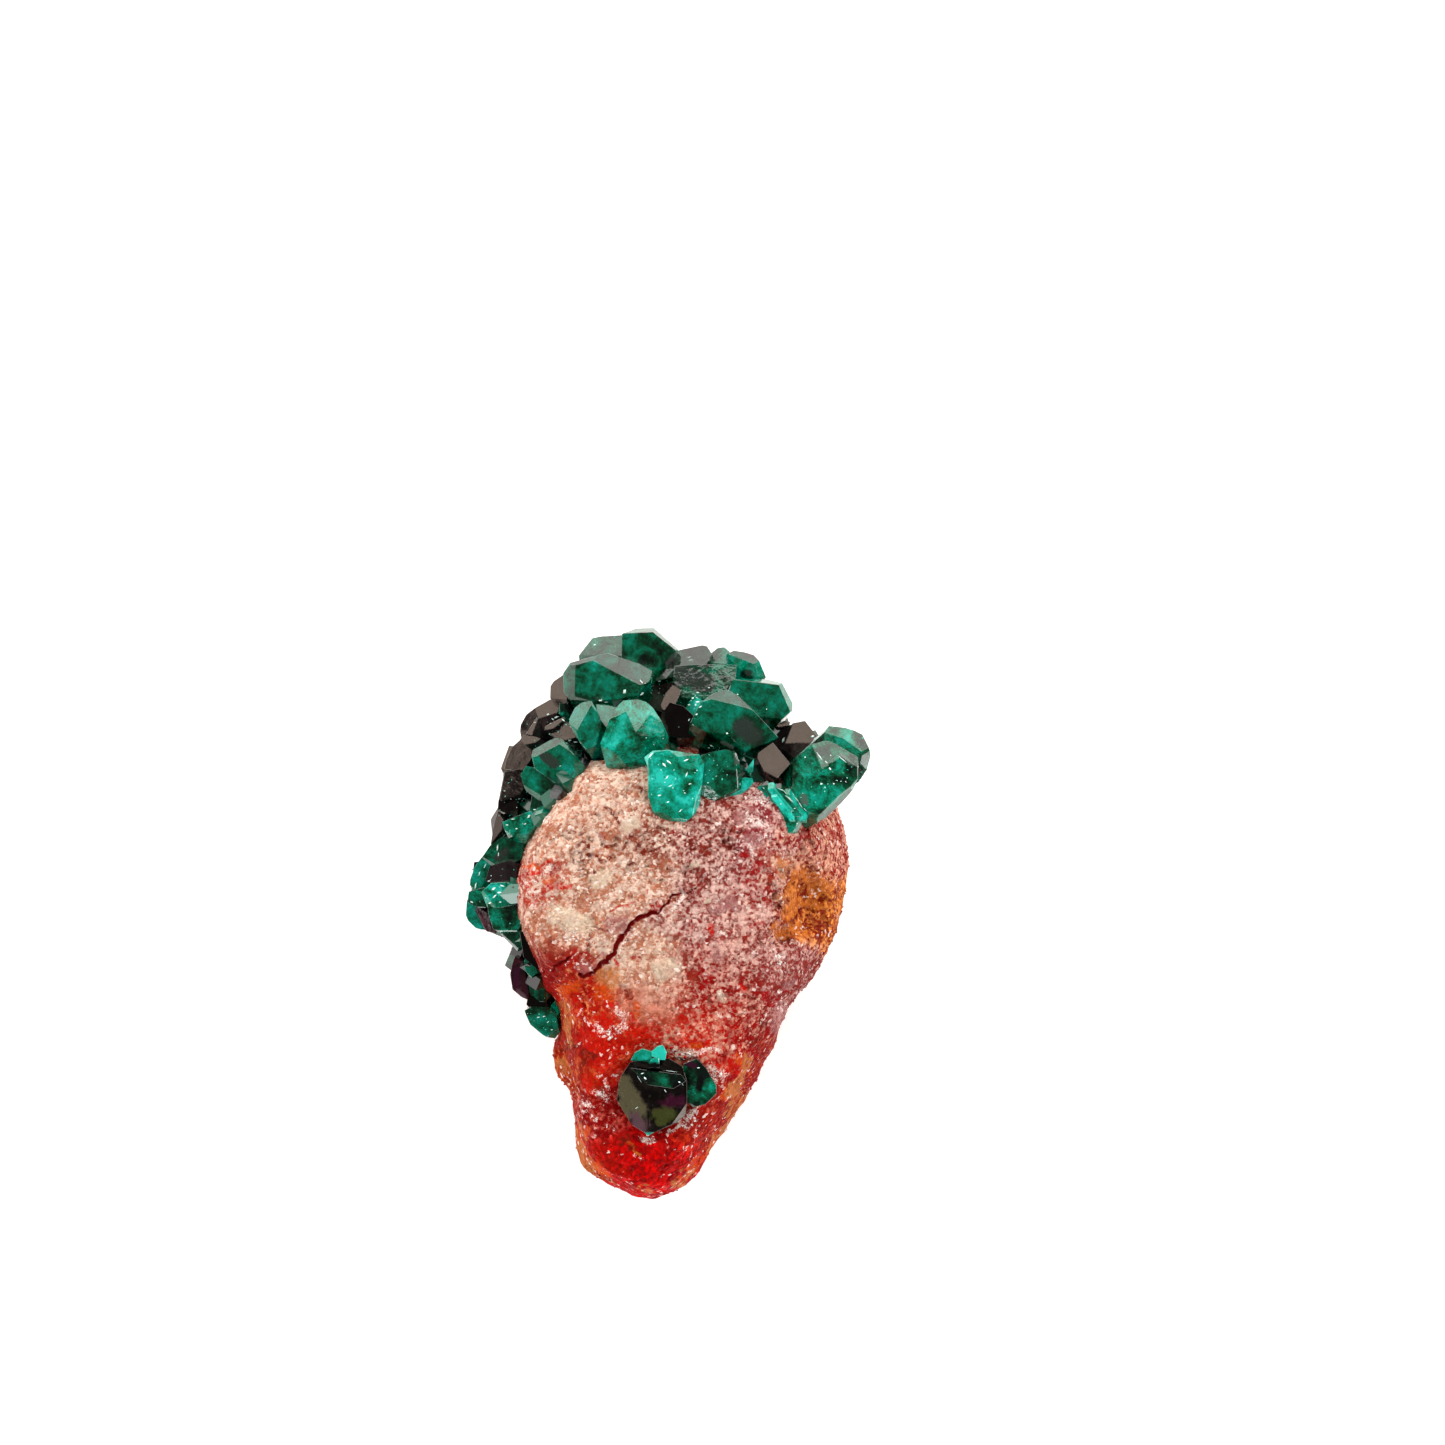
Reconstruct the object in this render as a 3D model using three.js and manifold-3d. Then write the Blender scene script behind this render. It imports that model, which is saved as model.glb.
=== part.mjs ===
// Dioptase on matrix: a wedge of sugary, iron-stained rock lying on its flat back, with a crown
// of emerald-green dioptase crystals on its top end, a crust of them down its left flank and one
// grown-together pair set low in its front. Millimetres, +Z up, resting on Z = 0. +Y is the end
// with the crown, -Y the tapered tip, and the broken front face looks up, along +Z.

import * as THREE from "three";
import { ConvexGeometry } from "three/addons/geometries/ConvexGeometry.js";
import { ImprovedNoise } from "three/addons/math/ImprovedNoise.js";
import { mergeVertices } from "three/addons/utils/BufferGeometryUtils.js";
import Module from "manifold-3d";

// ---------------------------------------------------------------- driving dimensions
const FRONT_HEIGHT = 26.5; // the broken front face above the resting face
const GIRDLE_HEIGHT = 12; // where the sides of the rock stand out furthest
const EDGE_ROUNDING = 0.5; // how far the rock's broken edges are worn round
const LUMP_SIZE = 5.5; // spacing of the rock's broad lumps
const LUMP_HEIGHT = 0.55;
const KNOB_SIZE = 2.6; // spacing of the smaller knobs on them
const KNOB_HEIGHT = 0.28;
const SEAT_GAP = 0.35; // clearance between the crystals' roots and the rock
const CRUST_THICKNESS = 2.0; // the crystals' roots, grown into one layer on the rock
const CRUST_TOP = 20.5; // the layer's broken edge, below the front face
const CRUST_FOOT = 1.2; // and its lower edge, clear of the resting face
const ROCK_DETAIL = 11; // subdivisions of the icosahedron that the rock is blown up from
const CRUST_DETAIL = 3; // the same for the outside of the crystals' root layer
const ROCK_CORE = new THREE.Vector3(0.5, -3, 12); // a point deep inside the rock
const ROCK_STRETCH = new THREE.Vector3(18, 27, 13); // its rough half sizes
const PLAN_CENTRE = new THREE.Vector3(0.11, -0.2, 0); // middle of the whole specimen, seen from above

// Dioptase is trigonal: six prism faces round the c axis, and at each end three faces of the
// rhombohedron {02-21}, whose normals lean this far from the axis.
const RHOMB_LEAN = THREE.MathUtils.degToRad(51);
const FACE_WANDER = 0.05; // how far, as a share, a real face sits off its ideal place
const DRUSE_LENGTH = 1.45; // length of the crystals round the sides, as a share of their width
const DRUSE_SINK = 0.04; // how deep, as a share of its length, such a crystal's middle lies

// ---------------------------------------------------------------- small helpers
const wasm = await Module();
wasm.setup();
const noise = new ImprovedNoise();

// A unit vector from its heading in plan (degrees from +X towards +Y) and its lean from +Z.
function heading(azimuth, lean) {
  const a = THREE.MathUtils.degToRad(azimuth);
  const t = THREE.MathUtils.degToRad(lean);
  return new THREE.Vector3(Math.sin(t) * Math.cos(a), Math.sin(t) * Math.sin(a), Math.cos(t));
}

// A repeatable number from 0 to 1 for each whole-number seed.
function chance(seed) {
  const s = Math.sin(seed * 127.1 + 311.7) * 43758.5453;
  return s - Math.floor(s);
}

function toSolid(geometry) {
  const bare = geometry.clone();
  bare.deleteAttribute("normal");
  bare.deleteAttribute("uv");
  const merged = mergeVertices(bare, 1e-4);
  const mesh = new wasm.Mesh({
    numProp: 3,
    vertProperties: merged.getAttribute("position").array,
    triVerts: new Uint32Array(merged.getIndex().array),
  });
  return new wasm.Manifold(mesh);
}

function toGeometry(solid) {
  const mesh = solid.getMesh();
  const geometry = new THREE.BufferGeometry();
  geometry.setAttribute("position", new THREE.BufferAttribute(mesh.vertProperties, 3));
  geometry.setIndex(new THREE.BufferAttribute(mesh.triVerts, 1));
  geometry.computeVertexNormals();
  return geometry;
}

// ---------------------------------------------------------------- the rock
// A broken face: a point on it, the heading it looks in, and how far it leans from facing up.
const face = (x, y, z, azimuth, lean) => ({
  point: new THREE.Vector3(x, y, z),
  normal: heading(azimuth, lean),
});

// A stretch of the rock's outline in plan: above the girdle the side leans in, and below it too.
const side = (x, y, azimuth, upperLean, lowerLean = 107) => [
  face(x, y, GIRDLE_HEIGHT, azimuth, upperLean),
  face(x, y, GIRDLE_HEIGHT, azimuth, lowerLean),
];

// The top end, which the crown of crystals covers.
const TOP_END = [
  ...side(-14.6, 11, 156, 80),
  ...side(-9.8, 18.2, 128, 74),
  ...side(0, 21, 95, 69),
  ...side(10, 18.5, 66, 70),
  ...side(17, 13, 34, 72),
];

const BODY_FACES = [
  ...TOP_END,
  ...side(20.0, 6, -3, 70),
  ...side(18.7, 0, -11, 72),
  ...side(14.2, -9.6, -30, 78),
  ...side(5.9, -24.0, -37, 76),
  ...side(0, -30.3, -74, 80, 98),
  ...side(-5, -29.5, -113, 78, 98),
  ...side(-10.4, -22, -172, 80),
  ...side(-13.3, -10, -171, 85),
  face(0, 0, FRONT_HEIGHT, -100, 3),
  face(2, 13, FRONT_HEIGHT - 0.6, 86, 22),
  face(12, 4, FRONT_HEIGHT - 1.5, -4, 44),
  face(13.5, -7, FRONT_HEIGHT - 1.6, -30, 24),
  face(6.6, -16, FRONT_HEIGHT - 2.4, -34, 46),
  face(0, -18, FRONT_HEIGHT - 1.0, -96, 15),
  face(-9.5, -16, FRONT_HEIGHT - 2.0, 186, 34),
];

// The upper left lobe, which stands proud of the front above the crack.
const LOBE_FACES = [
  ...TOP_END,
  ...side(-16.4, 2, 180, 86),
  ...side(-15.1, -3.6, -152, 85),
  face(-5.6, -3.8, FRONT_HEIGHT, -61, 84),
  face(3, 4, FRONT_HEIGHT + 0.1, 20, 5),
  face(9, 4, FRONT_HEIGHT - 0.5, 0, 75),
  face(2, 13, FRONT_HEIGHT - 0.2, 86, 22),
  face(-14.3, 3, FRONT_HEIGHT + 0.4, 178, 48),
];

// Rounded bosses (height above the rock) and hollows (negative height): centre, radius, height.
const BOSSES = [
  { at: [-10.8, -15.4, 14], radius: 3.4, height: 1.5 },
  { at: [12.9, -10.8, 13], radius: 4.5, height: -1.1 },
  { at: [14.6, 1.0, 20.5], radius: 4.4, height: -1.5 },
  { at: [11.6, -1.5, 24.2], radius: 2.2, height: -0.7 },
  { at: [-1.2, -18.6, 24.5], radius: 6.6, height: -2.0 },
  { at: [-12, 7.5, 26], radius: 4.0, height: 0.6 },
  { at: [-4, 5, 27], radius: 4.5, height: -0.5 },
  { at: [7, 8, 26], radius: 4.0, height: 0.5 },
  { at: [-6, -10, 26], radius: 4.0, height: 0.5 },
];

// Signed distance, near enough, to a body bounded by faces, with its edges worn round.
function convexDistance(point, faces) {
  const reach = new THREE.Vector3();
  let sum = 0;
  for (const { point: anchor, normal } of faces) {
    const distance = reach.subVectors(point, anchor).dot(normal);
    sum += Math.exp(distance / EDGE_ROUNDING);
  }
  return EDGE_ROUNDING * Math.log(sum);
}

function rockDistance(point) {
  let distance = Math.min(convexDistance(point, BODY_FACES), convexDistance(point, LOBE_FACES));
  for (const { at, radius, height } of BOSSES) {
    const away = point.distanceTo(new THREE.Vector3(...at)) / radius;
    if (away < 1) distance -= height * (1 - away * away) ** 2;
  }
  for (const [size, height] of [[LUMP_SIZE, LUMP_HEIGHT], [KNOB_SIZE, KNOB_HEIGHT]]) {
    distance -= height * noise.noise(point.x / size, point.y / size, point.z / size);
  }
  return distance;
}

// The rock blown up from its core: each corner of a stretched icosphere slides along its own ray
// until it lies the wanted distance off the rock's surface. It is then cut flat at Z = 0.
function rockSolid(offset, detail) {
  const ball = new THREE.IcosahedronGeometry(1, detail);
  const corners = ball.getAttribute("position");
  const ray = new THREE.Vector3();
  const point = new THREE.Vector3();
  for (let i = 0; i < corners.count; i++) {
    ray.fromBufferAttribute(corners, i).multiply(ROCK_STRETCH);
    let inner = 0;
    let outer = 2;
    for (let halving = 0; halving < 22; halving++) {
      const middle = (inner + outer) / 2;
      point.copy(ROCK_CORE).addScaledVector(ray, middle);
      if (rockDistance(point) < offset) inner = middle;
      else outer = middle;
    }
    corners.setXYZ(i, point.x, point.y, point.z);
  }
  const floor = new THREE.BoxGeometry(100, 100, 40).translate(0, 0, -20);
  return toSolid(ball).subtract(toSolid(floor));
}

// ---------------------------------------------------------------- one crystal
// The corners of a convex body are where three of its planes meet inside all the others.
function convexGeometry(planes) {
  const corners = [];
  const count = planes.length;
  for (let i = 0; i < count; i++) {
    for (let j = i + 1; j < count; j++) {
      const edge = new THREE.Vector3().crossVectors(planes[i].normal, planes[j].normal);
      for (let k = j + 1; k < count; k++) {
        const volume = edge.dot(planes[k].normal);
        if (Math.abs(volume) < 1e-6) continue;
        const corner = edge.clone().multiplyScalar(planes[k].distance);
        const jk = new THREE.Vector3().crossVectors(planes[j].normal, planes[k].normal);
        const ki = new THREE.Vector3().crossVectors(planes[k].normal, planes[i].normal);
        corner.addScaledVector(jk, planes[i].distance);
        corner.addScaledVector(ki, planes[j].distance);
        corner.divideScalar(volume);
        const inside = planes.every((p) => p.normal.dot(corner) <= p.distance + 1e-6);
        if (inside) corners.push(corner);
      }
    }
  }
  return new ConvexGeometry(corners);
}

// A crystal by the middle of its body, the heading and rise of its c axis, its roll about that
// axis (0 puts a prism face uppermost), its width across the prism and its length tip to tip.
// worn adds that many small chipped or grown-over faces.
function crystalGeometry([x, y, z, azimuth, rise, roll, width, length, worn = 0]) {
  const seed = Math.round(x * 31 + y * 57 + z * 11);
  const axis = heading(azimuth, 90 - rise);
  const up = heading(azimuth, -rise);
  const across = new THREE.Vector3().crossVectors(axis, up);
  const around = (degrees) => {
    const a = THREE.MathUtils.degToRad(degrees + roll);
    return up.clone().multiplyScalar(Math.cos(a)).addScaledVector(across, Math.sin(a));
  };
  const planes = [];
  const addPlane = (normal, distance) => {
    const wander = 1 + FACE_WANDER * (2 * chance(seed + planes.length * 7) - 1);
    planes.push({ normal, distance: distance * wander });
  };
  for (let side = 0; side < 6; side++) addPlane(around(side * 60), width / 2);
  for (const end of [1, -1]) {
    for (let turn = 0; turn < 3; turn++) {
      const lean = around(turn * 120 + (end > 0 ? 30 : 90));
      const normal = lean.multiplyScalar(Math.sin(RHOMB_LEAN));
      normal.addScaledVector(axis, end * Math.cos(RHOMB_LEAN));
      addPlane(normal, (Math.cos(RHOMB_LEAN) * length) / 2);
    }
  }
  for (let chip = 0; chip < worn; chip++) {
    const azimuthOfChip = 360 * chance(seed + 90 + chip * 3);
    const normal = heading(azimuthOfChip, 15 + 60 * chance(seed + 91 + chip * 3));
    const reach = support(planes, normal);
    planes.push({ normal, distance: reach * (0.8 + 0.15 * chance(seed + 92 + chip * 3)) });
  }
  return convexGeometry(planes).translate(x, y, z);
}

// How far a convex body reaches along a direction.
function support(planes, direction) {
  const corners = convexGeometry(planes).getAttribute("position");
  const corner = new THREE.Vector3();
  let reach = 0;
  for (let i = 0; i < corners.count; i++) {
    reach = Math.max(reach, corner.fromBufferAttribute(corners, i).dot(direction));
  }
  return reach;
}

// ---------------------------------------------------------------- where the crystals are
// x, y, z of the middle, heading and rise of the c axis, roll, width, length, worn faces.
const CROWN = [
  [-5.6, 22.6, 16.5, 20, 0, 10, 4.6, 6.4],
  [-0.6, 23.4, 15.5, 100, 10, 20, 5.0, 7.0],
  [-6.0, 26.8, 15.0, 176, 0, 30, 4.4, 7.2],
  [-2.5, 26.7, 16.0, 8, -5, 42, 5.5, 8.4],
  [-5.1, 24.9, 20.5, -20, 0, 30, 4.0, 7.6],
  [-8.1, 24.4, 19.5, 197, 0, 20, 4.4, 6.2],
  [-10.8, 22.9, 16.0, 110, 0, 10, 2.8, 4.6],
  [-8.8, 20.0, 22.5, 63, 10, 15, 3.6, 6.0],
  [-3.5, 19.2, 23.3, -10, 0, 45, 6.0, 8.0, 3],
  [-6.6, 20.6, 20.5, 110, 20, 10, 3.0, 5.0],
  [0.2, 22.5, 21.0, 65, 10, 0, 1.3, 3.6],
  [1.5, 25.7, 14.5, 19, 0, 5, 3.8, 8.5],
  [3.8, 24.0, 18.5, 3, 0, 0, 4.6, 9.5],
  [5.4, 26.1, 13.5, 90, 10, 0, 2.2, 4.3, 2],
  [7.9, 25.4, 14.5, -30, 0, 20, 3.7, 5.8, 3],
  [9.4, 22.6, 18.5, -10, -25, 50, 4.4, 8.8],
  [7.0, 20.3, 23.0, -17, 22, -2, 5.4, 9.7],
  [11.1, 15.9, 22.5, 93, 39, -30, 3.6, 5.2],
  [13.7, 18.3, 19.0, 55, 25, 0, 3.0, 5.0],
  [17.7, 16.0, 17.0, 70, 10, 0, 6.4, 8.2, 5],
  [16.4, 13.6, 22.2, 65, 20, -5, 5.8, 9.5, 2],
  [12.6, 10.9, 24.3, 125, 10, 0, 4.0, 7.4, 3],
  [0.4, 13.1, 25.4, 75, 10, 0, 6.0, 9.4, 4],
  [5.7, 14.2, 24.6, 20, 10, 0, 5.6, 7.6, 3],
  [-1.2, 16.6, 24.2, 30, 0, 0, 2.6, 3.8, 1],
  [11.4, 14.6, 19.0, 40, 10, 0, 4.4, 6.4],
  [-11.5, 15.6, 22.3, 205, 0, 15, 5.4, 6.8, 1],
  [-14.0, 13.9, 19.6, 200, 10, 0, 3.8, 5.2],
  [-12.7, 12.2, 22.0, 230, 0, 0, 3.4, 5.0],
  [-12.9, 19.5, 15.5, 50, 0, 30, 4.6, 6.0],
];

const FLANK = [
  [-15.6, 16.3, 16.5, 95, 10, 0, 2.6, 4.8],
  [-15.8, 13.0, 17.0, 100, 10, 0, 3.2, 5.4],
  [-14.4, 10.2, 20.5, 60, 0, 20, 2.8, 4.6],
  [-16.4, 9.3, 17.5, 100, 10, 0, 3.4, 5.4],
  [-17.0, 6.0, 17.5, 170, 10, 0, 4.4, 6.2],
  [-15.6, 3.2, 19.5, 80, 10, 0, 3.6, 6.0],
  [-18.2, 2.6, 15.5, 170, 10, 0, 4.6, 6.0],
  [-18.8, -0.1, 16.5, 200, 10, 0, 3.4, 5.2],
  [-16.2, -1.2, 18.5, 170, 10, 0, 3.8, 5.2],
  [-15.2, -4.0, 19.0, 120, 10, 0, 3.2, 4.6],
  [-15.0, -6.9, 17.6, 95, 10, 0, 3.2, 5.4],
  [-13.2, -10.3, 17.6, 75, 10, 0, 3.2, 5.2],
  [-14.3, -5.2, 9.0, 190, 0, 0, 4.4, 6.2],
  [-12.4, -9.4, 7.0, 200, 0, 40, 4.0, 5.6],
];

const LOWER_PAIR = [
  [-1.8, -18.4, 24.2, 104, 12, 12, 7.0, 10.6, 1],
  [3.0, -17.9, 24.2, 60, 10, 0, 5.0, 6.0, 3],
];

// The rest of the crust stands in rows round the sides: height, first and last heading as seen
// from the core, how many, and the width of the crystals.
const DRUSE_ROWS = [
  { height: 11.0, from: 54, to: 178, count: 10, width: 5.6 },
  { height: 5.4, from: 50, to: 170, count: 9, width: 5.4 },
];

// A point on the rock's side and the way the rock faces there.
function sideOfRock(azimuth, height) {
  const out = heading(azimuth, 90);
  const point = new THREE.Vector3();
  let reach = 0;
  do {
    reach += 0.1;
    point.set(ROCK_CORE.x, ROCK_CORE.y, height).addScaledVector(out, reach);
  } while (rockDistance(point) < 0);
  const step = 0.8;
  const here = rockDistance(point);
  const slope = new THREE.Vector3(
    rockDistance(point.clone().add(new THREE.Vector3(step, 0, 0))) - here,
    rockDistance(point.clone().add(new THREE.Vector3(0, step, 0))) - here,
    rockDistance(point.clone().add(new THREE.Vector3(0, 0, step))) - here,
  );
  return { point, facing: slope.normalize() };
}

function druseRow({ height, from, to, count, width }) {
  const row = [];
  for (let i = 0; i < count; i++) {
    const seed = height * 10 + i * 3;
    const azimuth = from + ((to - from) * (i + 0.6 * (chance(seed) - 0.5))) / (count - 1);
    const { point, facing } = sideOfRock(azimuth, height + 1.6 * (chance(seed + 1) - 0.5));
    const size = width * (0.8 + 0.4 * chance(seed + 2));
    const length = size * DRUSE_LENGTH;
    point.addScaledVector(facing, -length * DRUSE_SINK);
    const turn = THREE.MathUtils.radToDeg(Math.atan2(facing.y, facing.x));
    const azimuthOfAxis = turn + 60 * (chance(seed + 3) - 0.5);
    const rise = 40 * (chance(seed + 4) - 0.5);
    row.push([point.x, point.y, point.z, azimuthOfAxis, rise, 120 * chance(seed + 5), size, length]);
  }
  return row;
}

// ---------------------------------------------------------------- growing them together
function grow(crystals) {
  const solids = crystals.map((spec) => toSolid(crystalGeometry(spec)));
  return solids.reduce((joined, crystal) => joined.add(crystal));
}

// The layer of roots: a shell on the rock's top end and left flank, up to its broken edge.
function rootLayer() {
  const height = CRUST_TOP - CRUST_FOOT;
  const patch = new THREE.BoxGeometry(80, 60, height);
  patch.translate(0, 30, height / 2 + CRUST_FOOT);
  patch.rotateZ(THREE.MathUtils.degToRad(40)).translate(17.2, 12.5, 0);
  return rockSolid(CRUST_THICKNESS, CRUST_DETAIL).intersect(toSolid(patch));
}

const dioptase = new THREE.MeshStandardMaterial({
  name: "dioptase",
  color: 0x0c6a4f,
  roughness: 0.12,
  metalness: 0,
  flatShading: true,
});
const matrix = new THREE.MeshStandardMaterial({
  name: "iron-stained matrix",
  color: 0xba6f6a,
  roughness: 0.9,
  metalness: 0,
  flatShading: true,
});

const specimen = new THREE.Group();
function addNode(name, solid, material) {
  const mesh = new THREE.Mesh(toGeometry(solid), material);
  mesh.name = name;
  specimen.add(mesh);
}

const seat = rockSolid(SEAT_GAP, ROCK_DETAIL);
const crust = grow([...CROWN, ...FLANK, ...DRUSE_ROWS.flatMap(druseRow)]).add(rootLayer());
addNode("matrix", rockSolid(0, ROCK_DETAIL), matrix);
addNode("crystal_crust", crust.subtract(seat), dioptase);
addNode("front_crystal_pair", grow(LOWER_PAIR).subtract(seat), dioptase);
specimen.position.set(-PLAN_CENTRE.x, -PLAN_CENTRE.y, 0);

export default specimen;
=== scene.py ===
# %% [markdown]
# # Dioptase on matrix
# A hand specimen: a wedge of sugary quartz and dolomite rock, stained red and orange by iron, with
# a crown of stubby emerald crystals. It lies on its flat back, so the broken front looks up along
# +Z, the crowned end is +Y and the tapered tip is -Y. The scene is in metres and a specimen this
# small is easier to think of in millimetres, so lengths are written in millimetres and MM turns
# them into metres at the last moment.

# %% Load the part
import math
import random
import bpy
import bmesh
import numpy as np
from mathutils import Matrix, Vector, noise
from mathutils.bvhtree import BVHTree


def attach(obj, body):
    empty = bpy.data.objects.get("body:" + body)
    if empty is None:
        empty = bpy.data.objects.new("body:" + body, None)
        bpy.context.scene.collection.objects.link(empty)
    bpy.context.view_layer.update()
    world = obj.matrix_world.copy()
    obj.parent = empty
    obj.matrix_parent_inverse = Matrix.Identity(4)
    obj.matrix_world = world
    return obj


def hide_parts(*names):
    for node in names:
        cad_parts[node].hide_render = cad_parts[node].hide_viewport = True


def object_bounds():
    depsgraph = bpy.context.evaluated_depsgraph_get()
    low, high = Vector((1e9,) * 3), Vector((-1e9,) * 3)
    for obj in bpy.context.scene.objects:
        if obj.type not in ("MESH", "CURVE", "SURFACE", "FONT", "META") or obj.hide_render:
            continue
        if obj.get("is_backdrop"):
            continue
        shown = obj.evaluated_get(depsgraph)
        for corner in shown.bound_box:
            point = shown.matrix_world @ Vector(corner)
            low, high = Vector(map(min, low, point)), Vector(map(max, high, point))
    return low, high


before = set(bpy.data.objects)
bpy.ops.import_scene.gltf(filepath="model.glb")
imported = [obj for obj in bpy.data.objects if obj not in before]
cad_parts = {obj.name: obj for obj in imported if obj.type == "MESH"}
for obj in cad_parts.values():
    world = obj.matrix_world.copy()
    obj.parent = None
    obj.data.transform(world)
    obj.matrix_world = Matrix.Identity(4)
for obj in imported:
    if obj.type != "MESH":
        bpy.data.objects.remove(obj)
cad_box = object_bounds()
MM = 0.001
PLAN_CENTRE = Vector((0.11, -0.20, 0.0))  # the places below are measured from a point this far off
print("nodes:", sorted(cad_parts))

# %% [markdown]
# ## Helpers
# Colours are picked in a colour picker, which shows sRGB, while sockets hold linear light, so one
# function turns a hex value into a linear one. Every node tree below is wired by `add`: it makes a
# node, sets its settings, and fills each input with a number or a link. The functions after it name
# the nodes that come up again and again, so that a tree reads like the sum that it is.

# %% Colours and nodes
def linear(hex_colour):
    parts = [int(hex_colour[i:i + 2], 16) / 255 for i in (1, 3, 5)]
    return [c / 12.92 if c <= 0.04045 else ((c + 0.055) / 1.055) ** 2.4 for c in parts] + [1.0]


def add(tree, kind, inputs=None, **settings):
    node = tree.nodes.new(kind)
    for name, value in settings.items():
        setattr(node, name, value)
    for key, value in (inputs or {}).items():
        if isinstance(value, bpy.types.NodeSocket):
            tree.links.new(value, node.inputs[key])
        else:
            node.inputs[key].default_value = value
    return node


def new_material(name):
    material = bpy.data.materials.new(name)
    material.use_nodes = True
    material.node_tree.nodes.clear()
    return material, material.node_tree


def maths(tree, operation, *values, **settings):
    return add(tree, "ShaderNodeMath", dict(enumerate(values)), operation=operation, **settings).outputs[0]


def scaled(tree, vector, factor):
    return add(tree, "ShaderNodeVectorMath", {0: vector, "Scale": factor}, operation="SCALE").outputs[0]


def rescale(tree, value, low=0.0, high=1.0, to_low=0.0, to_high=1.0, **settings):
    """Spreads what lies from low to high over to_low to to_high, and holds the rest at the ends."""
    ends = {"Value": value, "From Min": low, "From Max": high, "To Min": to_low, "To Max": to_high}
    return add(tree, "ShaderNodeMapRange", ends, **settings).outputs[0]


print("white is", linear("#ffffff"))

# %% Nodes for materials
def mix_colours(tree, share, below, above):
    return add(tree, "ShaderNodeMix", {0: share, 6: below, 7: above}, data_type="RGBA").outputs[2]


def speck_noise(tree, vector, size, detail, roughness, distortion=0.0):
    """Noise about one half, with features size mm across: its value and its colour."""
    return add(tree, "ShaderNodeTexNoise", {"Vector": vector, "Scale": 1 / size, "Detail": detail,
                                            "Roughness": roughness, "Distortion": distortion}).outputs


def crisp(tree, cover, wobble, low, high):
    """Turns a soft cover into a mask whose edge follows the wobble noise."""
    strength = 0.9
    pushed = maths(tree, "MULTIPLY_ADD", wobble, strength, cover)
    return rescale(tree, pushed, low + strength / 2, high + strength / 2)


def colour_ramp(tree, value, stops):
    """Colours by their place on the ramp, blended in between."""
    ramp = add(tree, "ShaderNodeValToRGB", {0: value})
    elements = ramp.color_ramp.elements
    for _ in range(len(stops) - 2):
        elements.new(0.5)
    for element, (place_on_ramp, colour) in zip(elements, stops.items()):
        element.position, element.color = place_on_ramp, linear(colour)
    return ramp.outputs[0]


def map_nodes(tree, names):
    """The outputs of one attribute node for each of the maps named in the line."""
    return {name: add(tree, "ShaderNodeAttribute", attribute_name=name).outputs for name in names.split()}


def object_space(tree):
    """Places in mm in the object's own space, and its normals."""
    where = add(tree, "ShaderNodeTexCoord").outputs
    return scaled(tree, where["Object"], 1 / MM), where["Normal"]


def shade(tree, look, volume=None):
    """Ends a material: the surface, and for a clear body what it absorbs on the way through."""
    ends = {"Surface": add(tree, "ShaderNodeBsdfPrincipled", look).outputs[0]}
    if volume:
        ends["Volume"] = add(tree, "ShaderNodeVolumeAbsorption", volume).outputs[0]
    add(tree, "ShaderNodeOutputMaterial", ends)


print("material helpers ready")

# %% Objects
def new_object(name, mesh, material=None):
    piece = bpy.data.objects.new(name, mesh)
    bpy.context.scene.collection.objects.link(piece)
    if material is not None:
        mesh.materials.clear()
        mesh.materials.append(material)
    return piece


def baked(source, name):
    """The object's mesh with its modifiers applied, as a plain mesh of its own."""
    graph = bpy.context.evaluated_depsgraph_get()
    mesh = bpy.data.meshes.new_from_object(source.evaluated_get(graph))
    mesh.name = name
    return mesh


def triangles(mesh):
    return sum(len(polygon.vertices) - 2 for polygon in mesh.polygons)


def set_down(block, mesh):
    """Writes a bmesh into the mesh and frees it."""
    block.to_mesh(mesh)
    block.free()
    return mesh


def points_in_mm(mesh):
    flat = np.empty(len(mesh.vertices) * 3)
    mesh.vertices.foreach_get("co", flat)
    return flat.reshape(-1, 3) / MM


print("object helpers ready")

# %% Maps and tables
def write_maps(mesh, maps):
    """Stores each map on the mesh's points, as a colour where it has four numbers a point."""
    for name, values in maps.items():
        values = np.asarray(values, np.float32)
        kind, field = ("FLOAT_COLOR", "color") if values.ndim == 2 else ("FLOAT", "value")
        mesh.attributes.new(name, kind, "POINT").data.foreach_set(field, values.ravel())


def read_map(mesh, name, field="value", width=1):
    values = np.empty(len(mesh.vertices) * width, np.float32)
    mesh.attributes[name].data.foreach_get(field, values)
    return values


def numbers(table):
    """Reads "x,y x,y ..." as a list of tuples."""
    return [tuple(float(v) for v in entry.split(",")) for entry in table.split()]


def rise(values, first, length):
    """0 up to first, 1 from first + length on, and straight in between."""
    return np.clip((values - first) / length, 0, 1)


def nearness(points, spots):
    """The sum of one soft hill at each spot, given as x, y and reach."""
    return sum(np.exp(-((points[:, 0] - x) ** 2 + (points[:, 1] - y) ** 2) / reach ** 2)
               for x, y, reach in spots)


print("tables:", numbers("1,2 3,4.5"))

# %% [markdown]
# ## Camera, light and floor
# Glassy faces show nothing but what they mirror and what shines through them, so the light is set
# before any material. One large soft box stands beyond the crowned end and leans over it: faces
# that tilt that way mirror it and turn silver-grey, and the rest stay green. Narrow boxes just
# above the floor fill the shadows, and only the steepest faces can mirror them. The paper floor
# lies on a light table, so that it glows a little and takes the weight out of the shadow.

# %% Camera
LENS_FOOT = np.array([5.72, 20.05])  # mm, the point of the table under the lens
LENS_HEIGHT = 575.0  # mm over the table
MARK_LEVEL = 15.0  # mm, the level that the outline and every mark below were measured at
FRAME_WIDTH = 151.7  # mm across the frame at that level
SENSOR = 36.0

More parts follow.
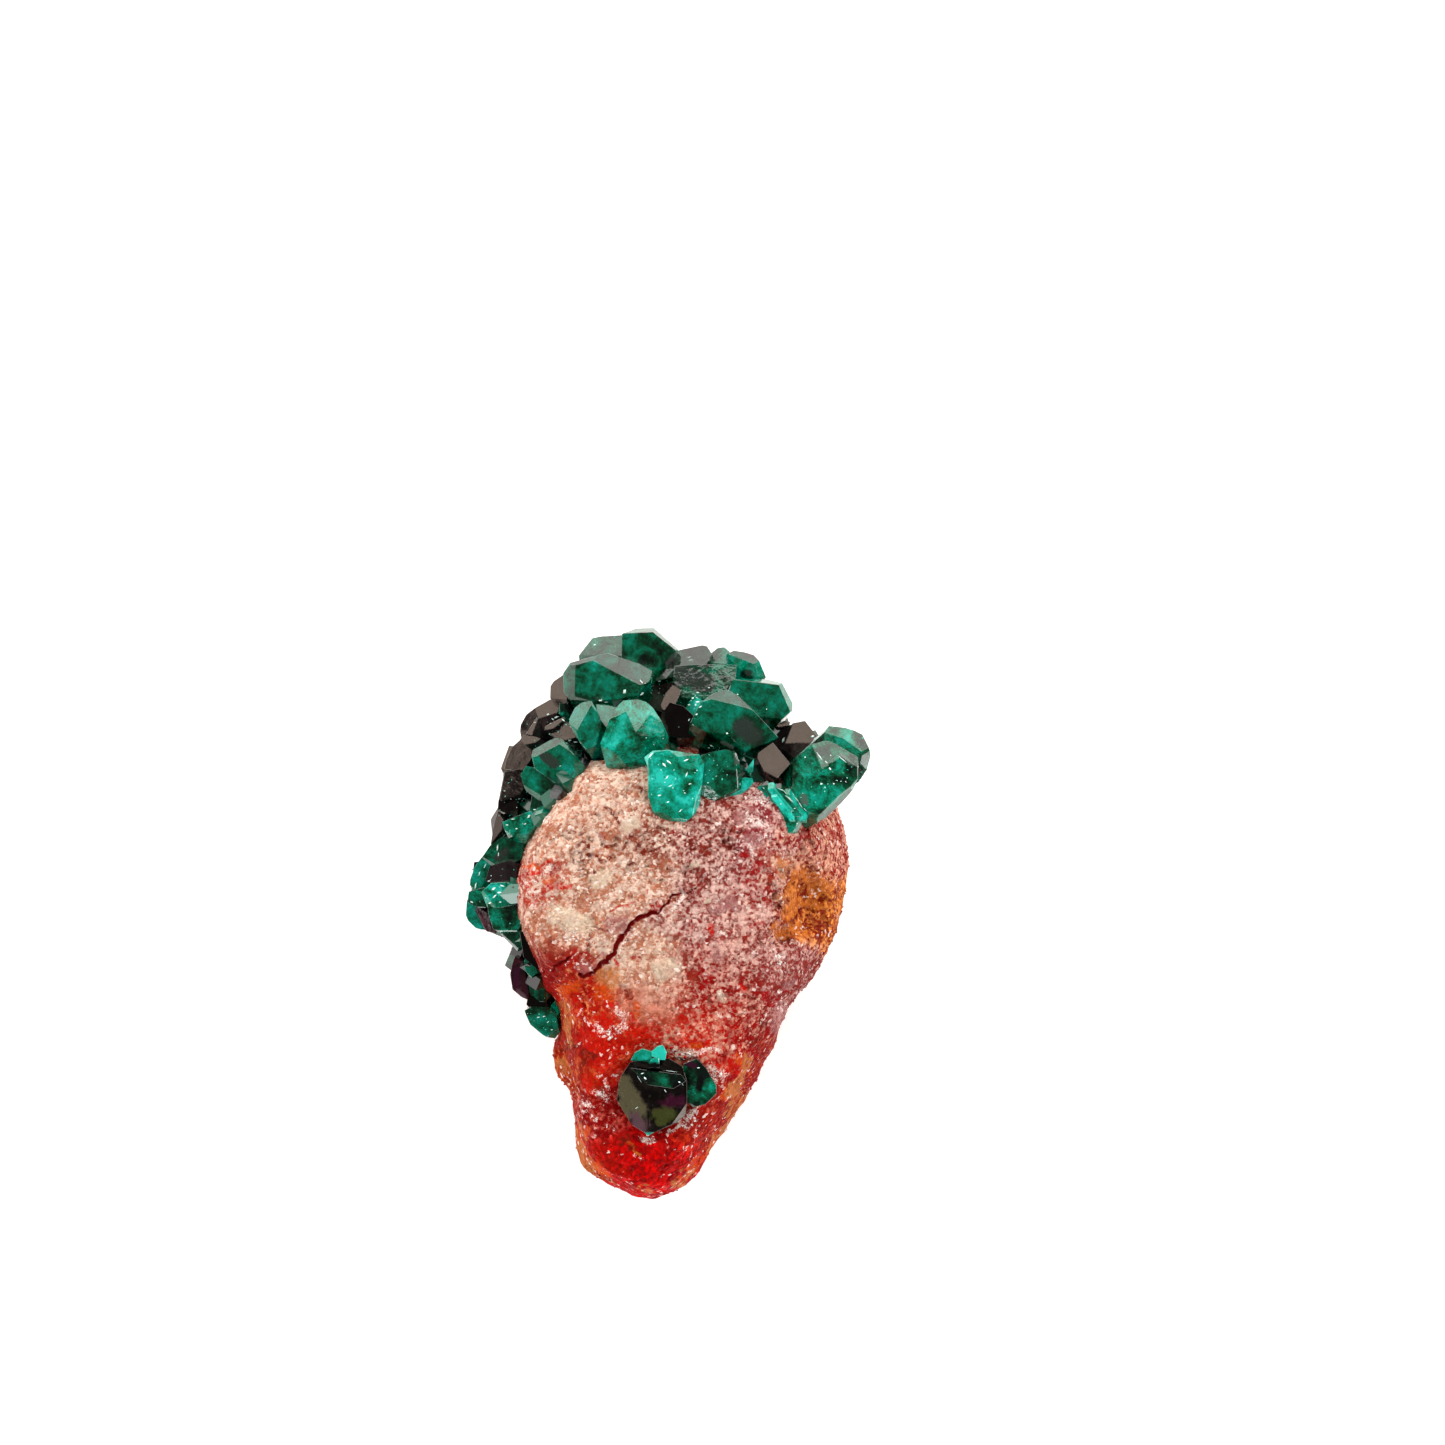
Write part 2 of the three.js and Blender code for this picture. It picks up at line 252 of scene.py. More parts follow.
eye = bpy.data.cameras.new("eye")
eye.sensor_width = SENSOR
eye.lens = SENSOR * (LENS_HEIGHT - MARK_LEVEL) / FRAME_WIDTH
eye.clip_start = 0.01
camera = bpy.data.objects.new("eye", eye)
camera.location = (Vector((*LENS_FOOT, LENS_HEIGHT)) - PLAN_CENTRE) * MM
bpy.context.scene.collection.objects.link(camera)
bpy.context.scene.camera = camera
bpy.context.scene.view_settings.view_transform = "Standard"
print("lens", round(eye.lens, 1), "mm")


# %% Light
def soft_box(name, heading, lean, distance, size, watts, colour):
    """A lamp seen from the specimen at a heading from +X towards +Y and a lean from straight up."""
    lamp = bpy.data.lights.new(name, "AREA")
    lamp.shape = "RECTANGLE"
    lamp.size, lamp.size_y = size
    lamp.energy = watts
    lamp.color = linear(colour)[:3]
    holder = bpy.data.objects.new(name, lamp)
    a, t = math.radians(heading), math.radians(lean)
    away = Vector((math.sin(t) * math.cos(a), math.sin(t) * math.sin(a), math.cos(t)))
    holder.location = away * distance
    holder.rotation_euler = away.to_track_quat("Z", "Y").to_euler()
    bpy.context.scene.collection.objects.link(holder)


soft_box("key_soft_box", 84, 50, 0.50, (1.30, 0.80), 10.5, "#fffaf5")
soft_box("left_soft_box", 195, 56, 0.50, (0.60, 0.44), 1.6, "#fff6f4")
soft_box("low_fill_front", 262, 76, 0.50, (0.90, 0.14), 2.4, "#ffffff")
soft_box("low_fill_right", -20, 76, 0.50, (0.60, 0.14), 1.6, "#ffffff")

world = bpy.data.worlds.new("dim studio")
world.use_nodes = True
world.node_tree.nodes["Background"].inputs["Color"].default_value = linear("#f6f8fa")
world.node_tree.nodes["Background"].inputs["Strength"].default_value = 0.11
bpy.context.scene.world = world

print("lamps:", len(bpy.data.lights))

# %% Floor
FLOOR_HALF, FLOOR_DROP = 3, 0.00002  # m: the paper reaches this far, and lies this far under the specimen

floor_material, tree = new_material("matt white paper")
shade(tree, {"Base Color": linear("#ffffff"), "Roughness": 0.9, "Emission Color": linear("#ffffff"),
             "Emission Strength": 0.22})
sheet = bpy.data.meshes.new("floor")
corners = [(x * FLOOR_HALF, y * FLOOR_HALF, -FLOOR_DROP) for x, y in ((-1, -1), (1, -1), (1, 1), (-1, 1))]
sheet.from_pydata(corners, [], [(0, 1, 2, 3)])
floor = new_object("floor", sheet, floor_material)
floor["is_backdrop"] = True
print("floor", 2 * FLOOR_HALF, "m wide")

# %% [markdown]
# ## The rock
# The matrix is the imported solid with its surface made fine. Sculpting it by hand could not be
# repeated, and plain displacement of the large flat triangles would have nothing to move. So the
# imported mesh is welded, remeshed into small even squares, given a few maps that say where things
# are, and then worked by a Geometry Nodes tree that pits and roughens it along its normals.

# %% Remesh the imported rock
ROCK_SQUARE = 0.52  # mm, and a third of it on the front, where each grain shows
# the front is what looks up by more than this normal's z, lies over this z in mm, and ends at this y in mm
FRONT_TILT, FRONT_LEVEL, FRONT_END = 0.35, 14, 17.4

matrix_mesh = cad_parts["matrix"].data.copy()
welded = bmesh.new()
welded.from_mesh(matrix_mesh)
bmesh.ops.remove_doubles(welded, verts=welded.verts, dist=1e-7)
block = new_object("rock_block", set_down(welded, matrix_mesh))
remesh = block.modifiers.new("even squares", "REMESH")
remesh.mode = "VOXEL"
remesh.voxel_size = ROCK_SQUARE * MM
rock_mesh = baked(block, "matrix_rock")
bpy.data.objects.remove(block)
finer = bmesh.new()
finer.from_mesh(rock_mesh)
seen = [f for f in finer.faces if f.normal.z > FRONT_TILT and f.calc_center_median().z > FRONT_LEVEL * MM
        and f.calc_center_median().y < FRONT_END * MM]
bmesh.ops.subdivide_edges(finer, edges=list({e for f in seen for e in f.edges}), cuts=2, use_grid_fill=True)
bmesh.ops.triangulate(finer, faces=[f for f in finer.faces if len(f.verts) > 4])
set_down(finer, rock_mesh)
place = points_in_mm(rock_mesh) + np.array(PLAN_CENTRE)
print("rock", len(place), "points,", triangles(rock_mesh), "triangles")

# %% [markdown]
# Where the colours and the crust lie is set down as short lists: the rock is pale sugary
# grain with iron oxide between the grains, so each stain has the colour of its grains, the colour
# of its iron, and how much of the iron there is. Each point of the rock takes a blend of the
# stains near it. The edges would be plain circles, so the point is first pushed about by noise.

# %% Stains on the rock
SUGAR, ROSE, SALMON, APRICOT = "#f2d3bf", "#e4b2a8", "#e0806a", "#ec8e58"
TAN, BROWN, PLUM, BLOOD, SCARLET, RUST = "#bc7558", "#8a3220", "#963832", "#8e0000", "#b81400", "#a42400"
STAINS = [  # x, y, reach, colour of the grains, colour of the iron, share of iron
    (-5.0, 13.0, 4.5, SUGAR, TAN, 0.50),
    (-11.0, 8.0, 4.0, SUGAR, TAN, 0.50),
    (-4.0, 3.0, 4.5, SUGAR, TAN, 0.50),
    (-2.0, 8.5, 3.0, SUGAR, BROWN, 0.54),
    (-10.5, 0.0, 3.5, SUGAR, TAN, 0.54),
    (-2.0, -5.0, 3.6, "#f0cfb8", TAN, 0.50),
    (4.5, 7.0, 4.0, "#eec4b8", "#84281c", 0.54),
    (9.0, 7.5, 3.2, "#eec4be", "#8c2a30", 0.56),
    (2.5, 0.0, 3.6, "#f0c8bc", "#8c2a28", 0.51),
    (8.0, -1.5, 4.2, "#f0beb0", "#8a2418", 0.50),
    (4.5, -7.0, 4.2, "#ecae9c", BLOOD, 0.56),
    (13.0, -7.5, 3.2, ROSE, "#861810", 0.66),
    (14.5, 0.8, 2.9, "#ff9c46", "#8a2004", 0.54),
    (11.4, 5.0, 2.0, "#f4bc9c", "#b04a28", 0.46),
    (11.6, -5.4, 2.2, ROSE, PLUM, 0.54),
    (12.2, -10.6, 2.0, ROSE, PLUM, 0.50),
    (-1.0, -9.0, 2.2, SALMON, TAN, 0.50),
    (9.6, 2.6, 1.8, ROSE, BLOOD, 0.56),
    (15.5, 8.0, 3.2, "#f6b498", "#98100c", 0.52),
    (-13.2, 4.0, 2.0, SUGAR, SCARLET, 0.56),
    (-11.5, -4.8, 2.2, SALMON, BLOOD, 0.76),
    (-8.5, -8.6, 2.8, APRICOT, SCARLET, 0.64),
    (3.0, -12.0, 4.4, "#f4ac92", "#c81a08", 0.55),
    (-5.0, -12.0, 3.0, "#ea5a34", SCARLET, 0.64),
    (-8.8, -14.0, 2.4, "#e04a24", "#960400", 0.66),
    (-10.8, -17.0, 1.8, "#e07c40", RUST, 0.60),
    (8.0, -16.0, 3.4, "#d85a26", BLOOD, 0.66),
    (-8.0, -20.0, 2.2, "#e86c5c", BLOOD, 0.62),
    (-1.0, -26.0, 4.8, "#e00200", "#8c0000", 0.52),
    (-6.5, -24.5, 2.0, "#e40600", "#a40c00", 0.56),
    (4.5, -22.5, 2.6, "#e04420", "#960800", 0.62),
    (-8.0, -27.0, 1.8, "#d87434", RUST, 0.60),
    (8.5, -11.0, 2.6, "#ecaa94", BLOOD, 0.64),
]
STAIN_WARP = 2.4  # mm that noise pushes a point by before it is matched to the stains
WARP_SIZE = 3.5  # mm from one push to the next
SIDE_WARP, SIDE_WARP_SIZE, SIDE_WARP_START = 13.0, 7.0, (40, 0, 0)  # the same, for the push of the sides
SIDE_FROM, SIDE_FADE = 15.0, 9.0  # mm: the sides begin under this level, and are full this far below it
STAIN_BLUR = 1.6  # the higher, the sharper the edge between two stains
NOISE_SEED = 5


def shoves(points, size, offset=(0, 0, 0)):
    """A smooth random push for each point, with size mm from one push to the next."""
    return np.array([noise.noise_vector(Vector(p) / size + Vector(offset)) for p in points])


noise.seed_set(NOISE_SEED)  # vector noise takes its offsets from the clock unless a seed is set
push = shoves(place, WARP_SIZE)
push += 0.45 * shoves(place, WARP_SIZE * 0.3)
warped = place + STAIN_WARP * push
# the table is a map of the front, so the stains would run down the sides in bands: there the push is
# far longer
low = rise(-place[:, 2:], -SIDE_FROM, SIDE_FADE)
warped += SIDE_WARP * low * shoves(place, SIDE_WARP_SIZE, SIDE_WARP_START)
weight = np.array([
    np.exp(-STAIN_BLUR * ((warped[:, 0] - x) ** 2 + (warped[:, 1] - y) ** 2) / reach ** 2)
    for x, y, reach, *_ in STAINS
]) + 1e-9
weight /= weight.sum(0)
grain_colour = weight.T @ np.array([linear(s[3]) for s in STAINS])
iron_colour = weight.T @ np.array([linear(s[4]) for s in STAINS])
iron_share = weight.T @ np.array([s[5] for s in STAINS])
print(len(STAINS), "stains; share of iron", iron_share.min().round(2), "to", iron_share.max().round(2))

# %% Where the bare rock, the veins and the crack are
CRUST_LINE = (17.2, 12.5, 40.0)  # the crust is on the far side of this line: a point and its slope
SCRAP = (2.1, 17.0, 1.2)  # x, y and reach of a scrap of rock that shows between crystals
# the edge of the bare rock where crystals meet it, seen from the front
BARE_FRONT = numbers("""
    -11.7,-13.3 -12.6,-9.1 -13.4,-5.7 -14.9,-3.1 -15.5,-.3 -15.5,5.1 -14.1,8.6 -11.4,11.6 -9.6,13.9
    -8.8,16.2 -7.2,16.1 -2.2,16.2 .2,16.4 8.5,13.6 10,14.2 13.5,12.5 18.9,11.3 30,0 10,-40 -20,-40""")
# soft orange rock that has weathered back
HOLLOW = numbers("""
    12.9,6.4 12.3,4.8 12.6,3.8 11.5,2.9 12,1.6 11.1,.7 11.6,-.4 10.6,-1.5 11.1,-2.4 10.2,-3.2 12.6,-3.5
    14.2,-2.7 15.4,-1.8 17,-1.4 17.3,1.6 16.2,3.6 15.2,5.8 13.8,7.4""")
HOLLOW_DEPTH = 0.9  # mm, reached this far in from its edge
# x, y and reach of places with many pits, and of the white veins
CRUMBLY = numbers("""
    -5.5,7.2,3.4 -8.6,5.6,2.4 -1,9,2.6 14.2,.6,3.2 13,3.4,2.6 14.6,-1.6,2.4 15.4,7.4,2.6 1,4.6,2.2
    -3,12.8,1.6 6,7,2.4""")
WHITE_VEINS = numbers("""
    -6,-12.5,1.2 -6.8,-19,1.2 1.2,-14.6,1.1 4.9,-16.8,.9 2.6,-14.9,.8 1.6,-22,1 2.4,-21.2,.8
    -2.1,-23.7,.8 9.8,12.2,1.3 -10,-2.2,1.2 -12.9,10.3,.8 11.6,-4.6,1.2 -2.4,15.6,.9 -8.6,16,.7""")
PIT_STROKES = "#7c1c0e"  # the strokes of this colour are sunk a little as well
PAINT = {  # strokes by colour: half width in mm, then the points of the line
    "#7c1c0e": """
        .24: 11.3,1.6 11.7,2.3; .3: 11.2,-.6 11.9,-1; .26: 12.4,-2.8 13.2,-3; .28: 12.6,3.6 13.1,4.2;
        .34: 14.9,1.4 15.6,.9; .22: 15.2,4.4 16,4.8; .2: 12.6,.9 13.1,-.3; .26: 16.6,-.6 16.2,-1.6; .2:
        14.4,3.8 14.9,3.2; .22: 14.6,8 15.4,7.4; .26: 16.8,6.4 16.4,5.6; .2: 12.4,6.6 12.8,5.8; .17:
        -8.5,6.1 -7.9,6.15 -7.4,6 -7.1,5.5 -6.8,5.35 -6.4,5.7 -5.9,6.1; .18: -9.2,6.4 -8.2,6.8; .2:
        -8.9,7.4 -8.3,7.1 -8.2,6.8; .12: -9.7,7 -9.2,7.3; .1: -9.9,5.6 -9.2,5.5 -8.6,5.8; .14: -6.6,7
        -5.5,7.15; .12: -4.8,6.8 -4.5,7.3; .34: -3.1,6.9 -2.6,6.4; .12: -4.4,4.9 -3.9,5.4 -3.5,5.2; .12:
        -2.2,6.5 -1.6,6.5 -.9,6.8; .12: -8.9,8.4 -9,8.2; .14: -7.7,4.3 -7.6,4.1; .16: -4,8.2 -3.8,8;
        .25: -1,9 -.6,9.1; .18: -.7,8.2 -.5,8; .2: .3,7.3 .8,7.2; .2: 4.1,8.4 4.6,8.5; .14: 4.2,7.5
        4.5,7.2; .2: 4.3,6.6 4.9,6.3; .25: 5.8,7.6 6.2,7.3 6.5,6.8; .22: 6.4,8.5 6.9,8.7; .14: 5.7,9.3
        6,9.6; .14: 2,6.3 2.1,5.9; .13: 1.9,6.7 2.8,6.7; .28: 3.2,4.5 3.2,3.8 3.6,3.9; .12: 3.3,3.4
        3.4,3; .15: 3.7,3.5 4.2,3.4; .1: 4.9,4.4 5.2,4.5; .14: 10.4,3.1 11.3,3.1; .16: 10.3,-1.3
        10.9,-1.2; .2: 9.6,-2.5 9.8,-3.4; .14: 11.5,-4.3 11.9,-4.4; .2: 11.4,.7 11.6,.2; .12: 11.7,.6
        12.2,.7; .14: 12.8,2.7 13,2.4; .3: 14.6,2.6 15.2,2.2; .2: 14,-.6 14.4,.2; .25: 15.4,-.4
        15.8,-.9; .14: 15.9,4.6 16.3,4; .16: 13.4,1 13.8,1.6; .12: 16.6,1.8 17,1.2; .2: 13.6,8.6
        14.6,8.9; .2: 14,7.6 14.2,6.8; .14: -8.2,-2.2 -8.4,-3 -8.4,-4; .1: -7.9,-1.4 -7.2,-1.7
        -5.9,-1.8; .12: -6.4,11.2 -5.9,10.4; .14: -5.4,10.2 -5,9.2; .12: -7.6,10.4 -7.2,10.2; .1:
        -4.9,12.6 -4.4,12.2; .2: -3.2,13.2 -2.8,13; .14: -10.4,8.5 -9.8,8.4; .3: -4.9,-7.6 -4.2,-8.4;
        .15: -4,-8.2 -3.9,-8.9; .4: -9,-14.8 -7.7,-14.9; .3: -9.1,-15.5 -8.9,-15.6; .2: -11.3,-14
        -9.9,-14.1; .2: 4.3,-8.8 4.4,-9.3; .15: 8.2,-7 8.5,-7.9; .16: 8,-8.6 9,-8.9; .2: 8.4,-9.9
        9.3,-9.9; .2: 9.6,-11.4 9.9,-11.9; .26: 8.9,-13.8 9.4,-12.9; .2: 9.5,-14.4 9.8,-15; .3: .9,-15.5
        2.9,-15.4; .4: -4.5,-23.6 -4.9,-24; .3: -3.9,-24.6 -3.8,-24.7; .1: -12.3,-8.4 -12.1,-10
        -11.7,-11.4""",
    "#a00408": """
        .2: -13,-6 -12.2,-5.7 -11.5,-5.3 -10.8,-4.9 -10.3,-4.5 -9.9,-3.9 -9.7,-3.5; .34: -10.6,-5
        -9.5,-4.8 -8.8,-4.4 -8.4,-4.6 -7.8,-5.1; .26: -8.2,-5 -7.5,-4.7 -6.8,-4.3 -6.2,-4.8; .35:
        -15,3.7 -14.8,4.3; .3: -12.3,4.4 -12,4.9 -11.5,5.2; .28: -7.1,8.3 -6.9,8; .35: -1.6,.3 -1.3,1
        -1,.6; .2: -3.8,-4.7 -3.2,-4.5 -3.1,-4.9; .14: 2.3,-.9 2.6,-1.4; .2: 2.1,-1.9 2.5,-1.9; .2:
        5.1,-2.8 5.8,-2.6; .14: 6.1,-2.4 6.6,-2; .14: 7.3,-1.2 7.7,-1.7; .14: 4.5,-.2 5,-.5; .3: 7.6,6
        8.1,6.2; .3: 9.7,6.3 10.2,6.7 10.6,6.4; .36: 9.2,4.6 9.6,5.2; .15: 10.4,5.7 10.8,5.6; .2:
        8.3,3.5 9,3.3; .2: 9.3,2.8 9.9,2.3; .2: 9.2,1.3 9,.6; .2: 8.6,-1.4 9.3,-1.1 9.9,-1.1; .18:
        8.2,9.6 8.2,9.2; .14: 7,9 7.6,8.9; .55: 10.3,-8.6 10.9,-9.2; .25: 4,-7.2 3.9,-7.7; .2: 3.4,-6.5
        4.6,-6.6; .25: 8,-11.8 8.6,-11.4; .3: 6.4,-12.6 6.5,-13.6; .2: 6.1,-11.4 5.7,-11.8; .4: 6,-14.8
        5.2,-15.6; .3: 5.4,-17.6 6.6,-17; .16: -15.5,4.8 -15.4,1 -15.4,-.6 -15,-2.6 -13.6,-5; .1:
        -9.9,-6 -9.4,-6.5; .2: 3.3,-4.2 3.6,-4.8; .2: 9.9,-5.6 10.6,-6; .25: -8.7,-7.7 -8.5,-9; .3:
        .6,8.4 1,8.2; .35: 1.5,17.2 2.6,16.8; .14: 12.2,-8.3 12.8,-8.5; .2: 6.8,-9.2 7.3,-10""",
    "#cc1404": """
        .22: -14.8,4.3 -14.2,4.45 -13.4,4.2; .2: -13.2,5 -12.6,5.3 -11.9,5.6; .25: -13.1,1.9 -12.9,2.3;
        .24: -13,2.3 -12.5,2.8 -11.7,3 -10.8,2.7 -10.2,2.75; .2: 4.4,-1.3 4.6,-2.1; .3: -9.6,-9.2
        -9.8,-10.4; .35: -6.6,-9.3 -5.6,-9.5; .3: -3.7,-11.2 -3.8,-10.6; .6: -7,-11 -6.3,-11.2; .6:
        5.4,-15.9 7,-16.2; .25: 1.4,-10.9 1.7,-10.9; .4: .6,-13.4 3.9,-13.6; .1: -5.9,.4 -4.6,.8
        -3.6,1.1; .12: -5.5,-4.9 -5.2,-5.5; 1.2: -8,-13 -6,-14; 1.1: -7,-16 -6.4,-17; .7: -3.6,-12.6
        -1.2,-13.2; .5: -8.8,-17.4 -8,-18.6; .3: 15.8,9.4 16.6,8.8; .2: 7.6,-7.6 8.2,-8.4""",
    "#dc500c": """
        .5: -10.8,-8 -9.8,-7.7; .65: -7,-8.2 -6.3,-8.9; .3: -3.4,-9.7 -3.3,-10.6; .3: -12.8,3.3
        -12.2,3.6; .2: -14.8,4.9 -13.5,4.9; .3: 7.3,-15.2 7.5,-16; .4: -7.5,-26.3 -6.8,-27.4; .3:
        4.2,-25.6 3,-26.2 2.3,-26.8; .4: 2.6,-13.8 3.4,-13.7; .3: 6.3,-18.2 5.8,-19.4; .25: 1.6,-27.6
        1.2,-27.8; .3: -8.4,-22.6 -8.8,-23.6""",
    "#d6742a": """
        .6: 11.4,-1.6 12.6,-2.3; .5: 13.2,-2.2 14.2,-1.4; .7: 13.4,2.8 14.2,3.8; .8: 15.4,3.2 16.2,2.6;
        .5: 13,-.2 14.6,1; .4: 15.4,1 16.2,.6; .13: -4.3,-23.9 -3.8,-24.2; .12: -3.7,-24.5 -3.6,-24.9
        -3.1,-25.3""",
    "#cc8048": """
        .3: 8.3,-15.2 7.6,-17 6.8,-18.4 6,-19.3; .2: 7.9,-17.6 7,-19.6 6.2,-21; .25: 8,-19.4 7,-21.4;
        .35: 6.5,-22 5.3,-23.8 4.2,-24.8; .35: -9.4,-22.5 -9.3,-25; .5: -8.8,-25.8 -8.1,-26.8; .35:
        -10.9,-9.4 -10.6,-12 -10.3,-13.3; .45: -11.3,-15.5 -11.1,-16.3; .25: -2.8,-28.8 -2,-29.5; .5:
        12,5 12.4,4; .35: 11.8,1.6 12.6,1.6; .3: 2.4,-26.9 1,-28.4; .9: -6.6,-6.6 -5.8,-7""",
    "#e8d4ba": """
        .9: -11.6,-.2 -10,-.8; .7: -9,-1 -8.6,-1.2; .22: 2.6,5 3.2,5.3; .16: 4,1.2 4.4,1.4; .8: -.6,-6
        .4,-5.6; .7: -6.6,3.8 -7.4,3.4; .3: 5.4,-8.4 5.8,-9; .5: -3.6,9.6 -4.4,9.2""",
    "#a86a68": """
        .7: -5.8,-1.2 -4.6,-1.2; .6: -9,-5.8 -8.4,-5.4; .5: 5,-4 5.2,-4.6; .6: 11.6,-10 11.4,-12; .4:
        13.2,-7.4 12.4,-7.8; .35: 9.9,-17 9.6,-18; .4: 8.4,7.9 9.4,7.6; .5: 7.4,10 8.4,10.8; .4: 6.6,1.4
        7.2,.6; .5: 5.8,.8 5,.4""",
}
LIGHT_STROKES = """
    .41: -12.9,4.4 -12.4,4.9; .19: -14.6,2.2 -13.3,2.4; .16: -14.8,3.1 -14.2,3.4 -13.8,3.2; .41:
    -13.4,9.9 -12.8,9.6 -12.4,10.4; .14: -3,4.5 -2.95,4.9; .19: -4.2,4.2 -3.2,4.4; .32: -4.7,-3.1
    -3.8,-2.4 -3.4,-1.9; .14: -5.2,-4.6 -4.8,-3.4; .12: -10.9,-5.4 -10.4,-4.9; .11: -10,-4.6 -9.4,-4;
    .35: .5,.5 .9,1 1.4,1.4 1.7,2; .19: -1.4,-.6 -.4,-.1; .19: 5,3.9 5.5,3.6 6.5,3.5; .27: 8.7,7.2
    8.9,6.2; .19: 9.2,7.6 9.9,8 10.6,8.2; .16: 5.4,-2 6.2,-2.3; .11: 5.2,1.3 5.7,1.9; .14: 7.2,2
    7.3,2.1; .19: 7.9,-4.8 8.1,-4.8; .11: 4.2,-3.2 5,-3; .41: 8.4,10.4 9.4,9.6 10.4,9.2; .61: 9,12
    9.8,12.4 10.2,11.8; .46: -5.3,-10.2 -4.7,-10.8; .46: -4.6,-11.6 -5,-12.2; .41: -7.4,-11.9
    -6.9,-12.5; .22: -6.5,-12.4 -6,-12.9; .19: -8.6,-11 -8.3,-11.6; .16: -9.3,-10.1 -9.5,-10.6; .14:
    -5.7,-14.1 -5.5,-14.1; .14: -6.1,-14.6 -6.1,-15.4; .19: -7.3,-17.1 -7.1,-17.1; .27: -6.5,-17.6
    -6.3,-18.3; .35: -7.8,-18.8 -6.9,-19 -6.5,-19.4; .3: -9,-19.8 -8,-20.2; .24: -8.6,-20.9 -8.4,-20.8;
    .16: -9.4,-21.5 -9,-21.3; .14: -7.7,-21.7 -7.4,-21.4; .14: -6.3,-22.2 -6.3,-22.3; .14: -5.7,-22.5
    -5.7,-22.7; .14: -7.8,-23.3 -7.7,-23.3; .41: .6,-14.3 1.1,-14.9 2,-14.8 3,-14.8; .27: 1,-14.1
    1,-14.3; .27: 3.2,-14.6 4.4,-14.2 5.4,-14.5; .41: 4.3,-16 4.9,-16.4 5.8,-16.9; .27: 4.8,-16.9
    5.2,-17.6; .27: .1,-22.9 .8,-22.6 1.4,-22.1 1.9,-22.5; .34: 2,-21.6 2.4,-21 3,-20.5; .3: -2.8,-23.5
    -2.3,-24; .19: -1.6,-23.4 -1.3,-24.1; .14: -3.6,-25.3 -3.6,-25.5; .14: -3.1,-25.6 -2.7,-25.9; .14:
    .8,-24.7 1,-24.8; .16: 3.1,-22.6 2.9,-23.8; .14: 1.9,-24.5 1.9,-24.7; .19: 1.5,-28.2 1.9,-28.7; .2:
    5.2,-10.5 5.6,-10.9; .27: 5.6,-8.2 5.5,-8.7; .19: 11.8,-8.1 11.8,-8.2; .32: 12.4,-9.3 12.8,-9.6;
    .14: 7,-14.1 7,-14.3; .32: -8.6,16 -7.8,16.3; .27: -2.6,16 -2.2,15.4; .22: 11.6,-9.4 12,-10.6"""
CRACK_LINES = """
    .2: -9.4,-6.6 -8.9,-6.75 -8.4,-6.5 -7.6,-6.2 -7.1,-5.6; .3: -7.1,-5.6 -6.4,-5.1 -5.7,-4.3 -5.5,-3.6
    -5.2,-2.9 -4.8,-2.4; .24: -4.8,-2.4 -4.2,-2 -3.9,-1.3 -3.3,-.8 -2.4,-.3 -1.8,0 -1.2,.1; .13: -1.2,.1
    -.6,.5 0,1.1 .6,1.9 1,2; .1: 1.4,2.15 2.2,2.1 3,2.6; .15: -13,-6 -12.2,-5.7 -11.5,-5.3 -10.8,-4.9
    -10.3,-4.5"""
print(len(PAINT), "colours of stroke,", len(CRUMBLY), "crumbly places,", len(WHITE_VEINS), "white veins")

# %% Reading strokes
def strokes(table):
    """Reads "half width: x,y x,y ...; ..." as a list of half widths and lines."""
    read = []
    for entry in table.split(";"):
        half_width, line = entry.split(":")
        read.append((float(half_width), numbers(line)))
    return read


def as_seen(points):
    """Where points fall when they are drawn from the lens onto the level that all marks are measured at."""
    stretch = (LENS_HEIGHT - MARK_LEVEL) / (LENS_HEIGHT - points[:, 2:3])
    return LENS_FOOT + (points[:, :2] - LENS_FOOT) * stretch


def distance_to_line(points, line):
    nearest = np.full(len(points), 1e9)
    for (ax, ay), (bx, by) in zip(line, line[1:]):
        along = np.array([bx - ax, by - ay])
        t = np.clip(((points - (ax, ay)) @ along) / (along @ along), 0, 1)
        nearest = np.minimum(nearest, np.linalg.norm(points - (ax, ay) - t[:, None] * along, axis=1))
    return nearest


def stroke_cover(points, table):
    """1 on the lines of the table, a half at their half width and 0 at their full width."""
    cover = np.zeros(len(points))
    for half_width, line in strokes(table):
        box = np.array(line)
        near = ((points > box.min(0) - 2 * half_width) & (points < box.max(0) + 2 * half_width)).all(1)
        cover[near] = np.maximum(cover[near], 1 - 0.5 * distance_to_line(points[near], line) / half_width)
    return np.clip(cover, 0, 1)


def paint(points, tables):
    """The colour painted at each point, and how much it covers."""
    colour, cover = np.zeros((len(points), 4)), np.zeros(len(points))
    for name, table in tables.items():
        layer = stroke_cover(points, table)
        colour[layer > cover] = linear(name)
        cover = np.maximum(cover, layer)
    return colour, cover


def inside_outline(points, outline):
    """Whether each point is inside the outline: from inside, a ray crosses it an odd number of times."""
    inside = np.zeros(len(points), bool)
    for (ax, ay), (bx, by) in zip(outline, outline[1:] + outline[:1]):
        crosses = (points[:, 1] < ay) != (points[:, 1] < by)
        at = ax + (points[:, 1] - ay) * (bx - ax) / ((by - ay) or 1e-9)
        inside ^= crosses & (points[:, 0] < at)
    return inside


print(len(strokes(CRACK_LINES)), "lines of crack")

